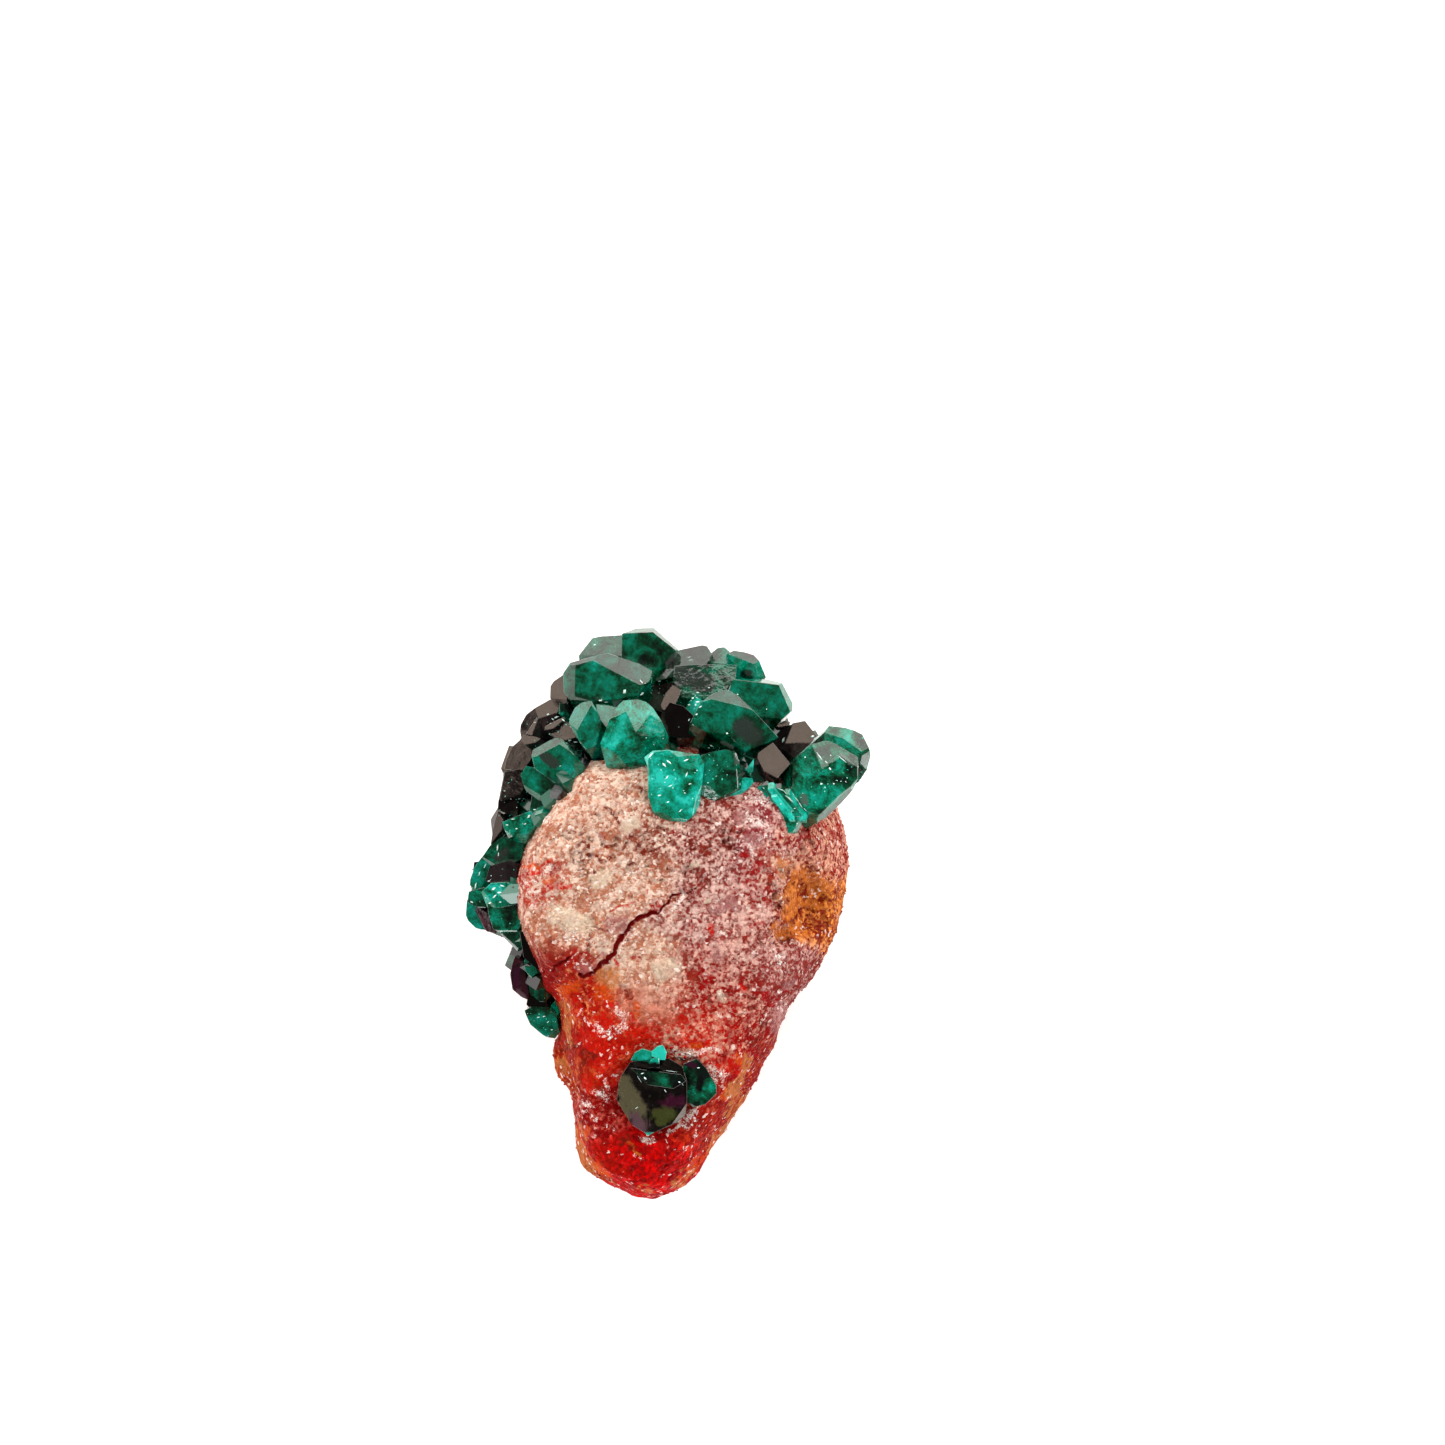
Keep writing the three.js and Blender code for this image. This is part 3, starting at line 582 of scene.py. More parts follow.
# %% Maps of the rock
FRONT_FROM, UPPER_FROM, HOLLOW_FROM = 20.0, 9.5, 12.0  # mm: marks begin to show over these levels
FADE = 3.0  # mm that they take to show in full
FOOT_FROM, FOOT_FADE = 2.0, 1.2  # the foot of the rock is bare all round, and the crust sets in over it
SHAKE, SHAKE_SIZE = 0.22, 0.8  # mm: the edges of strokes are shaken by this much, at this size
STEEP_SHAKE, STEEP_SWAY, SWAY_SIZE = 0.5, 1.0, 2.2  # and more on steep rock, which would draw them out
RED_VEINS, SIDE_VEINS = 0.20, 0.42  # how many white flecks there are in the red end and on the right

wavering = place[:, :2] + 0.35 * push[:, :2]
seen_at = as_seen(place)
across, along = seen_at.T
facing = np.empty(len(place) * 3)
rock_mesh.vertex_normals.foreach_get("vector", facing)
steep = 1 - np.clip(facing.reshape(-1, 3)[:, 2:], 0, 1)
shaken = seen_at + (SHAKE + STEEP_SHAKE * steep) * shoves(place, SHAKE_SIZE)[:, :2]
shaken += STEEP_SWAY * steep * shoves(place, SWAY_SIZE)[:, :2]
front, upper = (rise(place[:, 2], level, FADE) for level in (FRONT_FROM, UPPER_FROM))
crack = stroke_cover(shaken, CRACK_LINES) * front
paint_colour, paint_cover = paint(shaken, PAINT)
pit_cover = stroke_cover(shaken, PAINT[PIT_STROKES]) * upper
slope = math.radians(CRUST_LINE[2])
crust_side = ((place[:, 1] - CRUST_LINE[1]) * math.cos(slope)
              - (place[:, 0] - CRUST_LINE[0]) * math.sin(slope))
bare = inside_outline(wavering, BARE_FRONT)
bare |= (wavering[:, 0] - SCRAP[0]) ** 2 + (wavering[:, 1] - SCRAP[1]) ** 2 < SCRAP[2] ** 2
crust = np.where(bare, 0.0, rise(crust_side, 0.0, 1.0)) * rise(place[:, 2], FOOT_FROM, FOOT_FADE)
hollow = np.where(inside_outline(wavering, HOLLOW), distance_to_line(wavering, HOLLOW + HOLLOW[:1]), 0.0)
hollow = HOLLOW_DEPTH * rise(hollow, 0.0, HOLLOW_DEPTH) * rise(place[:, 2], HOLLOW_FROM, FADE)
vein = np.clip(nearness(seen_at, WHITE_VEINS), 0, 1) * front
vein = np.maximum(vein, SIDE_VEINS * rise(across + 0.4 * along, -1.0, 4.0) * (along > -19))
vein = np.maximum(vein, RED_VEINS * rise(-along, 9.0, 3.0) * (along > -20))
write_maps(rock_mesh, {
    "grain_colour": grain_colour, "iron_colour": iron_colour, "iron_share": iron_share, "crack": crack,
    "paint_colour": paint_colour, "paint": paint_cover * upper,
    "light_strokes": stroke_cover(shaken, LIGHT_STROKES) * upper,
    "carved": 0.4 * np.clip(crack * 2 - 0.8, 0, 1) + 0.15 * np.clip(pit_cover * 2 - 0.8, 0, 1),
    "crust": crust, "vein": vein, "hollow": hollow,
    "crumbly": np.clip(nearness(place, CRUMBLY), 0, 1) * front,
})
print("crust covers", round(float((crust > 0.5).mean()), 2), "of the rock's points")

# %% [markdown]
# The tree below moves each point along its normal by a sum of four heights: blunt lumps, the
# chipped steps between them, the sugary grain, and deep pits where soft carbonate has weathered
# out. All of it fades to nothing at the flat back, so the specimen still rests flat.

# %% Roughen the rock
def new_geometry_tree(name, inputs):
    tree = bpy.data.node_groups.new(name, "GeometryNodeTree")
    tree.interface.new_socket("Geometry", in_out="INPUT", socket_type="NodeSocketGeometry")
    for label, value in inputs.items():
        kinds = {int: "NodeSocketInt", float: "NodeSocketFloat"}
        socket = tree.interface.new_socket(label, in_out="INPUT",
                                           socket_type=kinds.get(type(value), "NodeSocketMaterial"))
        if type(value) in kinds:
            socket.default_value = value
    tree.interface.new_socket("Geometry", in_out="OUTPUT", socket_type="NodeSocketGeometry")
    start = tree.nodes.new("NodeGroupInput")
    return tree, start


def run_tree(source, tree, inputs, name):
    """Runs a tree on an object with these inputs and gives the plain mesh that comes out."""
    modifier = source.modifiers.new(tree.name, "NODES")
    modifier.node_group = tree
    for item in tree.interface.items_tree:
        if item.in_out == "INPUT" and item.name in inputs:
            modifier[item.identifier] = inputs[item.name]
    mesh = baked(source, name)
    source.modifiers.remove(modifier)
    return mesh


rough_inputs = {
    "Lump Size": 4.5, "Lump Height": 0.35,
    "Chip Size": 2.1, "Chip Height": 0.36,
    "Grain Size": 0.85, "Grain Height": 0.36,
    "Pit Size": 1.3, "Pit Depth": 0.40,
    "Base Fade": 1.2,
}
rough, start = new_geometry_tree("roughen the rock", rough_inputs)
given = start.outputs
position = add(rough, "GeometryNodeInputPosition").outputs[0]
in_mm = scaled(rough, position, 1 / MM)


def rock_noise(size, detail, roughness, seed):
    scale = maths(rough, "DIVIDE", 1.0, given[size])
    look = {"Vector": in_mm, "W": seed, "Scale": scale, "Detail": detail, "Roughness": roughness}
    return add(rough, "ShaderNodeTexNoise", look, noise_dimensions="4D").outputs[0]


def swell(texture, height):
    """Noise brought about zero and given its height."""
    return maths(rough, "MULTIPLY", maths(rough, "SUBTRACT", texture, 0.5), given[height])


def rock_map(name):
    return add(rough, "GeometryNodeInputNamedAttribute", {"Name": name},
               data_type="FLOAT").outputs["Attribute"]


lumps = swell(rock_noise("Lump Size", 1.0, 0.5, 3.1), "Lump Height")
chip_scale = maths(rough, "DIVIDE", 1.0, given["Chip Size"])
chips = add(rough, "ShaderNodeTexVoronoi", {"Vector": in_mm, "Scale": chip_scale, "Randomness": 0.9},
            feature="F1")
chips = maths(rough, "MULTIPLY", maths(rough, "SUBTRACT", 0.5, chips.outputs["Distance"]),
              given["Chip Height"])
grains = swell(rock_noise("Grain Size", 2.0, 0.7, 7.7), "Grain Height")
pits = maths(rough, "MULTIPLY_ADD", rock_map("crumbly"), 0.10, rock_noise("Pit Size", 2.5, 0.65, 11.3))
pits = rescale(rough, pits, 0.63, 0.72, interpolation_type="SMOOTHSTEP")
pits = maths(rough, "MULTIPLY", pits, given["Pit Depth"])
carved = rock_map("carved")
height = maths(rough, "ADD", maths(rough, "ADD", lumps, chips), grains)
height = maths(rough, "SUBTRACT", maths(rough, "SUBTRACT", height, pits), carved)
height = maths(rough, "SUBTRACT", height, rock_map("hollow"))
level = add(rough, "ShaderNodeSeparateXYZ", {0: in_mm}).outputs["Z"]
height = maths(rough, "MULTIPLY", height, rescale(rough, level, 0.02, given["Base Fade"]))
height = maths(rough, "MULTIPLY", height, MM)
step = scaled(rough, add(rough, "GeometryNodeInputNormal").outputs[0], height)
moved = add(rough, "GeometryNodeSetPosition", {"Geometry": given["Geometry"], "Offset": step})
kept = add(rough, "GeometryNodeStoreNamedAttribute",
           {"Geometry": moved.outputs[0], "Name": "pit", "Value": pits},
           data_type="FLOAT")
smooth = add(rough, "GeometryNodeSetShadeSmooth", {"Geometry": kept.outputs[0]})
add(rough, "NodeGroupOutput", {0: smooth.outputs[0]})

rock_base = new_object("rock_base", rock_mesh)
rough_mesh = run_tree(rock_base, rough, rough_inputs, "matrix_rock")
bpy.data.objects.remove(rock_base)
heights = points_in_mm(rough_mesh)
print("rock now reaches", heights.min(0).round(1), heights.max(0).round(1))

# %% [markdown]
# ## The rock's material
# Sugary rock is a mass of clear to white grains with iron oxide in the seams between them. The eye
# sees it as pale specks on red, not as one mixed pink, so the shader keeps the two colours apart:
# noise as coarse as a few grains decides which one shows, and the share of iron moves its
# threshold. A cell pattern of one grain a cell makes each grain a little lighter or darker.

# %% Iron-stained sugary rock: matt, speckled, with grains that catch the light and painted glints
GRAIN = 0.32  # mm across a grain
CLOT = 0.7  # mm across a clot of grains
# near black under the crust: painted shade in the gaps between the crystals
SHADE_UNDER_CRUST = "#080306"
CRACK_COLOUR = "#7c0808"
# the colour of the white calcite, and of the painted glints
WHITE_GRAIN_AND_GLINT = "#ecdcd4"
# the lamps are set for dark glossy crystals, so the pale rock's colours are toned down by this
LAMP_TO_SKIN = 0.66


rock_material, tree = new_material("iron-stained sugary rock")
in_mm, _ = object_space(tree)
maps = map_nodes(tree, "grain_colour iron_colour iron_share pit crack crust vein paint_colour paint "
                       "light_strokes")
clots = speck_noise(tree, in_mm, CLOT, 6.0, 0.75, 0.4)[0]
# a grain's edges are crooked, so its cell is read at a place that noise has pushed
crooked = scaled(tree, speck_noise(tree, in_mm, 0.4, 2.0, 0.5)["Color"], 0.4)
crooked = add(tree, "ShaderNodeVectorMath", {0: in_mm, 1: crooked}, operation="ADD")
cells = add(tree, "ShaderNodeTexVoronoi", {"Vector": crooked.outputs[0], "Scale": 1 / GRAIN})
# each grain's own three numbers
cell = add(tree, "ShaderNodeSeparateColor", {0: cells.outputs["Color"]}).outputs
# iron shows where clots + a little of each grain's own number is under the share
speckle = maths(tree, "MULTIPLY_ADD", cell[0], 0.22, clots)
# iron gathers in some places and leaves others clean
blotch = speck_noise(tree, in_mm, 2.3, 2.0, 0.6, 0.8)[0]
share = maths(tree, "MULTIPLY_ADD", blotch, 0.5, maps["iron_share"]["Fac"])
iron = rescale(tree, maths(tree, "SUBTRACT", share, speckle), 0.03, 0.27)
colour = mix_colours(tree, iron, maps["grain_colour"]["Color"], maps["iron_colour"]["Color"])
# painted stains, with crumbly edges and with grains left clean inside them
edge = speck_noise(tree, in_mm, 0.5, 4.0, 0.75, 0.6)[0]
painted = crisp(tree, maps["paint"]["Fac"], edge, 0.22, 0.52)
painted = maths(tree, "MULTIPLY", painted, rescale(tree, cell[0], to_low=0.95, to_high=0.30))
colour = mix_colours(tree, painted, colour, maps["paint_colour"]["Color"])
# what lies deep keeps its iron, the same iron colour, darkened as painted shade in the pits
pit_iron_and_shade = add(tree, "ShaderNodeHueSaturation", {"Color": maps["iron_colour"]["Color"], "Saturation": 1.4,
                                                  "Value": 0.6}).outputs[0]
pit_share = maths(tree, "MULTIPLY", maps["pit"]["Fac"], 0.9, use_clamp=True)
colour = mix_colours(tree, pit_share, colour, pit_iron_and_shade)
colour = mix_colours(tree, crisp(tree, maps["crack"]["Fac"], edge, 0.40, 0.56), colour,
                     linear(CRACK_COLOUR))
lightness = rescale(tree, cell[1], to_low=0.76 * LAMP_TO_SKIN, to_high=1.16 * LAMP_TO_SKIN)
colour = add(tree, "ShaderNodeHueSaturation", {"Color": colour, "Value": lightness}).outputs[0]
# white calcite: crooked flecks, many in the veins and few elsewhere, and the strokes of the list
fleck = speck_noise(tree, in_mm, 0.38, 4.0, 0.78, 1.4)[0]
white = maths(tree, "SUBTRACT", fleck, rescale(tree, maps["vein"]["Fac"], to_low=0.72, to_high=0.55))
white = rescale(tree, white, high=0.05, to_high=0.78)
chaff = speck_noise(tree, in_mm, 0.26, 3.0, 0.75, 1.4)[0]
fragments = maths(tree, "SUBTRACT", chaff,
                  rescale(tree, maps["light_strokes"]["Fac"], 0.05, 0.8, 0.72, 0.47))
fragments = rescale(tree, fragments, high=0.06, to_high=0.78)
white = maths(tree, "MAXIMUM", white, fragments)
# painted glints: white on the glossiest grains, where a lamp would flash
glints = maths(tree, "MULTIPLY_ADD", speck_noise(tree, in_mm, 2.4, 1.0, 0.5)[0], 0.35, cell[2])
white = maths(tree, "MAXIMUM", white, rescale(tree, glints, 1.14, 1.18, to_high=0.6))
colour = mix_colours(tree, white, colour, linear(WHITE_GRAIN_AND_GLINT))
# under the crust the rock is near black: painted shade between the crystals
colour = mix_colours(tree, maps["crust"]["Fac"], colour, linear(SHADE_UNDER_CRUST))
fine = speck_noise(tree, in_mm, 0.3, 2.0, 0.6)[0]
relief = maths(tree, "MULTIPLY_ADD", cells.outputs["Distance"], -0.6, fine)
bump = add(tree, "ShaderNodeBump", {"Height": relief, "Strength": 0.8, "Distance": 0.2 * MM}).outputs[0]
gloss = rescale(tree, cell[2], 0.7, to_low=0.9, to_high=0.4)
shade(tree, {"Base Color": colour, "Roughness": gloss, "IOR": 1.54, "Specular IOR Level": 0.05,
             "Normal": bump})
matrix_rock = new_object("matrix_rock", rough_mesh, rock_material)
print("matrix_rock:", triangles(rough_mesh), "triangles")

# %% [markdown]
# ## Sugar grains and crumbs
# The rock is called sugary because whole small rhombs of dolomite and bits of quartz stand out of
# it. Bump can't give their shadows or their ragged edge against the light, and ten thousand of
# them can't be set by hand, so a tree scatters them over the rock: a denser share of small grains
# in the colours of the rock under them, and white crumbs only where the white veins are. A grain
# is a squashed cube of twelve triangles.

# %% Scatter grains
def scatter_tree(name, inputs, material, gate, shape, tilt):
    """A tree that sets copies of a shape on the surface, as dense as the gate attribute says."""
    tree, start = new_geometry_tree(name, {**inputs, "Material": material})
    given = start.outputs
    gate_map = add(tree, "GeometryNodeInputNamedAttribute", {"Name": gate},
                   data_type="FLOAT").outputs["Attribute"]
    density = maths(tree, "MULTIPLY", maths(tree, "MULTIPLY", gate_map, given["Per Square mm"]),
                    1 / MM ** 2)
    points = add(tree, "GeometryNodeDistributePointsOnFaces",
                 {"Mesh": given["Geometry"], "Density": density, "Seed": inputs["Seed"]})
    spin = add(tree, "FunctionNodeRandomValue",
               {0: (-tilt, -tilt, -3.14), 1: (tilt, tilt, 3.14), "Seed": 5},
               data_type="FLOAT_VECTOR")
    turned = add(tree, "FunctionNodeRotateRotation",
                 {"Rotation": points.outputs["Rotation"], "Rotate By": spin.outputs[0]},
                 rotation_space="LOCAL")
    size = add(tree, "FunctionNodeRandomValue", {"Seed": 7}, data_type="FLOAT_VECTOR")
    for socket, label in ((0, "Smallest"), (1, "Largest")):
        width = maths(tree, "MULTIPLY", given[label], MM)
        cube = add(tree, "ShaderNodeCombineXYZ", {k: width for k in range(3)})
        tree.links.new(cube.outputs[0], size.inputs[socket])
    copies = add(tree, "GeometryNodeInstanceOnPoints",
                 {"Points": points.outputs["Points"], "Instance": shape(tree),
                  "Rotation": turned.outputs[0], "Scale": size.outputs[0]})
    tone = add(tree, "FunctionNodeRandomValue", {"Seed": 9})
    toned = add(tree, "GeometryNodeStoreNamedAttribute",
                {"Geometry": copies.outputs[0], "Name": "tone", "Value": tone.outputs[1]},
                data_type="FLOAT", domain="INSTANCE")
    real = add(tree, "GeometryNodeRealizeInstances", {0: toned.outputs[0]})
    coloured = add(tree, "GeometryNodeSetMaterial",
                   {"Geometry": real.outputs[0], "Material": given["Material"]})
    add(tree, "NodeGroupOutput", {0: coloured.outputs[0]})
    return tree


def scatter(name, surface, inputs, material, gate, shape, tilt=0.5):
    carrier = new_object(name + "_carrier", surface.copy())
    tree = scatter_tree(name, inputs, material, gate, shape, tilt)
    mesh = run_tree(carrier, tree, {**inputs, "Material": material}, name)
    bpy.data.objects.remove(carrier)
    piece = new_object(name, mesh)
    if not mesh.materials:
        mesh.materials.append(material)
    print(name, triangles(mesh), "triangles")
    return piece


def unit_cube(tree):
    return add(tree, "GeometryNodeMeshCube", {"Size": (1.0, 1.0, 0.8)}).outputs["Mesh"]


def unit_crumb(tree):
    return add(tree, "GeometryNodeMeshIcoSphere", {"Radius": 0.55, "Subdivisions": 1}).outputs["Mesh"]


# %% Where grains, crumbs and druse may stand
bare_rock = 1 - read_map(rough_mesh, "crust")
above = rise(heights[:, 2], 1.0, 2.0)
redness = read_map(rough_mesh, "grain_colour", "color", 4).reshape(-1, 4)[:, 1]
clean = np.clip(0.12 + 2.0 * redness, 0, 1)  # few clean grains are left where all is red
write_maps(rough_mesh, {
    "bare_gate": bare_rock * above * (read_map(rough_mesh, "carved") < 0.1) * clean,
    "crumb_gate": np.clip(read_map(rough_mesh, "vein") * 2.0 - 0.9, 0, 1) * bare_rock,
    "druse_gate": (read_map(rough_mesh, "crust") > 0.5) * (above > 0.6),
})
print("druse may stand on", round(float((read_map(rough_mesh, "druse_gate") > 0).mean()), 2),
      "of the points")

# %% Sugar grain: clear to milky, a little shinier than the rock between
grain_material, tree = new_material("milky sugar grain")
maps = map_nodes(tree, "grain_colour iron_colour iron_share tone paint paint_colour")
stained = rescale(tree, maths(tree, "SUBTRACT", maps["iron_share"]["Fac"], maps["tone"]["Fac"]),
                  -0.20, 0.16)
colour = mix_colours(tree, stained, maps["grain_colour"]["Color"], maps["iron_colour"]["Color"])
painted = maths(tree, "MULTIPLY", maps["paint"]["Fac"], 0.8)
colour = mix_colours(tree, painted, colour, maps["paint_colour"]["Color"])
colour = add(tree, "ShaderNodeHueSaturation", {"Color": colour, "Value": LAMP_TO_SKIN}).outputs[0]
shade(tree, {"Base Color": colour, "Roughness": 0.5, "IOR": 1.6, "Specular IOR Level": 0.12})

# %% White crumb: crushed calcite and quartz, chalky
crumb_material, tree = new_material("crushed white calcite")
tone = map_nodes(tree, "tone")["tone"]["Fac"]
shade(tree, {"Base Color": colour_ramp(tree, tone, {0.0: "#a8928a", 1.0: "#e6e0da"}), "Roughness": 0.5,
             "IOR": 1.55})

# %% Grains and crumbs
GRAINS = {"Per Square mm": 1.6, "Smallest": 0.10, "Largest": 0.30, "Seed": 3}
CRUMBS = {"Per Square mm": 8.0, "Smallest": 0.10, "Largest": 0.32, "Seed": 4}
sugar_grains = scatter("sugar_grains", rough_mesh, GRAINS, grain_material, "bare_gate", unit_cube)
white_crumbs = scatter("white_crumbs", rough_mesh, CRUMBS, crumb_material, "crumb_gate", unit_crumb)

# %% [markdown]
# ## Dioptase, the mineral
# Dioptase is a copper silicate: glassy, strongly green, and clear where it is thin. Glass alone
# would be colourless, so the green is in the body: absorption that eats red within a millimetre
# and leaves green and a little blue. Three habits are seen on one specimen, so there are three
# finishes: clear crystals, crystals cloudy with healed cracks, and dusky ones coated in iron film.
# The film is partly painted sheen: it greys the faces that turn to the key lamp.

# %% Three finishes of dioptase
DIOPTASE = {0.0: "#001208", 0.25: "#00482a", 0.5: "#008a68", 0.75: "#00b49a", 1.0: "#2ee6d2"}
DUSKY = {0.0: "#020001", 0.5: "#0e080a", 1.0: "#30282a"}
PLUM_STAIN = {0.0: "#050002", 0.5: "#300614", 1.0: "#6a2c3c"}
# a dark grey film on the faces that turn towards the key lamp: partly a patina, partly painted sheen, the
# grey of the lamp that those faces mirror
FILM_AND_SHEEN = {0.3: "#20261c", 0.5: "#26241f", 0.7: "#2e211f"}
FILM_AND_SHEEN_SIDE = Vector((0.09, 0.86, 0.50))
DIOPTASE_IOR = 1.68


def dioptase(name, colours, mottle, film_and_sheen_cover, clarity, roughness, absorbed, density, gleam="#ffffff"):
    """colours, from deep to bright, are picked by each crystal's tone and mottled by so much.
    film_and_sheen_cover is how much of it the film covers, which is partly painted sheen, and gleam tints
    what its faces mirror."""
    material, tree = new_material(name)
    in_mm, normal = object_space(tree)
    tone = map_nodes(tree, "tone")["tone"]["Fac"]
    # broad clouds, and the small feathery cracks that heal inside a crystal and scatter light
    cloud = speck_noise(tree, in_mm, 2.2, 3.0, 0.6, 0.6)[0]
    feather = speck_noise(tree, in_mm, 0.55, 4.0, 0.7, 1.5)[0]
    mixed = maths(tree, "MULTIPLY_ADD", feather, 0.55, cloud)
    cloud = maths(tree, "ADD", rescale(tree, mixed, 0.55, 1.0, -mottle, mottle), tone)
    body = colour_ramp(tree, cloud, colours)
    # the film, partly painted sheen, lies on the side that faces the key lamp and is worn through in patches
    toward = add(tree, "ShaderNodeVectorMath", {0: normal, 1: FILM_AND_SHEEN_SIDE},
                 operation="DOT_PRODUCT").outputs["Value"]
    smear = speck_noise(tree, in_mm, 1.1, 5.0, 0.7)[0]
    film_and_sheen = rescale(tree, maths(tree, "MULTIPLY_ADD", smear, 0.5, toward), 0.90, 1.16, to_high=film_and_sheen_cover)
    upward = rescale(tree, add(tree, "ShaderNodeSeparateXYZ", {0: normal}).outputs[2], 0.30, 0.55)
    film_and_sheen = maths(tree, "MULTIPLY", film_and_sheen, upward)
    film_and_sheen_colour = colour_ramp(tree, speck_noise(tree, in_mm, 3.0, 2.0, 0.5)[0], FILM_AND_SHEEN)
    body = mix_colours(tree, film_and_sheen, body, film_and_sheen_colour)
    painted = crisp(tree, map_nodes(tree, "paint")["paint"]["Fac"], smear, 0.36, 0.60)
    body = mix_colours(tree, painted, body, map_nodes(tree, "paint_colour")["paint_colour"]["Color"])
    rough = rescale(tree, smear, 0.35, 0.7, roughness * 0.4, roughness * 1.8)
    growth = speck_noise(tree, in_mm, 0.9, 3.0, 0.55)[0]
    bump = add(tree, "ShaderNodeBump", {"Height": growth, "Strength": 0.3,
                                        "Distance": 0.10 * MM}).outputs[0]
    shade(tree, {"Base Color": body, "Roughness": rough, "IOR": DIOPTASE_IOR, "Specular IOR Level": 0.34,
                 "Specular Tint": linear(gleam), "Transmission Weight": clarity, "Normal": bump},
          {"Color": absorbed, "Density": density})
    return material


BODY_GREEN = (0.02, 0.84, 0.72, 1.0)
clear = dioptase("clear dioptase", DIOPTASE, 0.36, 0.85, 0.62, 0.07, BODY_GREEN, 150.0)
cloudy = dioptase("broken cloudy dioptase", DIOPTASE, 0.46, 0.0, 0.50, 0.12, BODY_GREEN, 110.0)
# the dusky finish also colours dark fillers set between the crystals: there its near-black is painted shade
dusky = dioptase("dusky dioptase", DUSKY, 0.40, 0.8, 0.45, 0.14, (0.3, 0.25, 0.3, 1.0), 500.0, "#ead6c6")
plum = dioptase("plum-stained dioptase", PLUM_STAIN, 0.40, 0.3, 0.45, 0.10, (0.5, 0.15, 0.25, 1.0), 500.0)
print("finishes:", [material.name for material in (clear, cloudy, dusky, plum)])

# %% [markdown]
# ## One crystal
# A dioptase crystal is a six-sided prism closed at each end by three slanting faces of a
# rhombohedron. The rule is simple enough to cut it as a lapidary would: start with a block and
# take off one plane after another. Real faces sit a little off their ideal places, and each face
# carries a shallow second face, so its edges and creases are uneven. A fine bevel then wears the
# edges. The ideal form only fits small, free crystals. The large ones have grown into one another
# and some are broken, so they are given by the corners that can be seen, and the flat faces are
# the hull of those corners and of two smaller rings below them.

# %% Cut a crystal from a block
RHOMB_LEAN = math.radians(51.0)  # between the long axis and the normals of the end faces
FACE_WANDER = 0.05  # each face is off its ideal distance by up to this share
FINISHES = {"clear": 0, "cloudy": 1, "dusky": 2, "plum": 3}
RINGS = ((0.45, 0.90), (1.0, 0.46))  # below a crowded crystal's corners: how deep, and how narrow
# the crust's crystals lean toward this place by this many mm in each mm of depth
ROOT_Y, LEAN_IN = 4.0, 0.36
LEAN_FULL, LEAN_MOST = 11.0, 1.6  # mm from there at which they lean that much, and the most times it
# the front pair stands upright, and crystals from the second y on lean in full
UPRIGHT_Y, LEANING_Y = -16.0, -4.0


def heading(azimuth, lean):
    a, t = math.radians(azimuth), math.radians(lean)
    return Vector((math.sin(t) * math.cos(a), math.sin(t) * math.sin(a), math.cos(t)))


def slice_off(block, point, normal):
    """Takes off what lies beyond the plane and closes the cut."""
    parts = block.verts[:] + block.edges[:] + block.faces[:]
    cut = bmesh.ops.bisect_plane(block, geom=parts, plane_co=point, plane_no=normal, clear_outer=True,
                                 dist=1e-5)
    rim = [e for e in cut["geom_cut"] if isinstance(e, bmesh.types.BMEdge) and e.is_boundary]
    if rim:
        bmesh.ops.holes_fill(block, edges=rim)


def reach(block, direction):
    return max(v.co.dot(direction) for v in block.verts)


def chip(block, times, azimuths, leans, depths, dice):
    for _ in range(times):
        way = heading(dice.uniform(*azimuths), dice.uniform(*leans))
        slice_off(block, way * reach(block, way) * dice.uniform(*depths), way)


def prism_block(azimuth, rise, roll, width, length, worn, dice):
    """A free crystal about the origin, in mm. rise lifts its long axis, and roll turns it about that."""
    axis = heading(azimuth, 90 - rise)
    up = heading(azimuth, -rise)
    across = axis.cross(up)

    def around(degrees):
        a = math.radians(degrees + roll)
        return up * math.cos(a) + across * math.sin(a)

    faces = [(around(60 * side), width / 2) for side in range(6)]
    for end in (1, -1):
        for turn in range(3):
            lean = around(120 * turn + (30 if end > 0 else 90))
            normal = lean * math.sin(RHOMB_LEAN) + axis * end * math.cos(RHOMB_LEAN)
            faces.append((normal, math.cos(RHOMB_LEAN) * length / 2))
    block = bmesh.new()
    bmesh.ops.create_cube(block, size=3 * max(width, length))
    for normal, distance in faces:
        slice_off(block, normal * distance * (1 + FACE_WANDER * dice.uniform(-1, 1)), normal)
    for normal, _ in faces:
        tilt = Vector([dice.uniform(-1, 1) for _ in range(3)])
        second = (normal + 0.09 * tilt).normalized()
        slice_off(block, second * reach(block, second) * dice.uniform(0.975, 0.995), second)
    chip(block, worn, (0, 360), (10, 75), (0.82, 0.94), dice)
    return block


def hull_block(corners, depth, inward, worn, dice):
    """A crowded crystal about the origin, in mm, from the corners of its upper faces. It narrows downward
    and leans so that its root lies inward, which is how crystals fan out from the rock they grew on."""
    block = bmesh.new()
    for corner in corners:
        block.verts.new(corner)
        for share, narrowed in RINGS:
            drop = depth * share * dice.uniform(0.88, 1.0)
            block.verts.new(Vector((corner.x * narrowed, corner.y * narrowed, corner.z - drop))
                            + inward * drop)
    hull = bmesh.ops.convex_hull(block, input=block.verts)
    inner = {v for key in ("geom_interior", "geom_unused") for v in hull[key]
             if isinstance(v, bmesh.types.BMVert)}
    bmesh.ops.delete(block, geom=list(inner), context="VERTS")
    bmesh.ops.dissolve_limit(block, angle_limit=math.radians(3), verts=block.verts, edges=block.edges)
    chip(block, worn, (225, 370), (24, 80), (0.88, 0.96), dice)
    return block


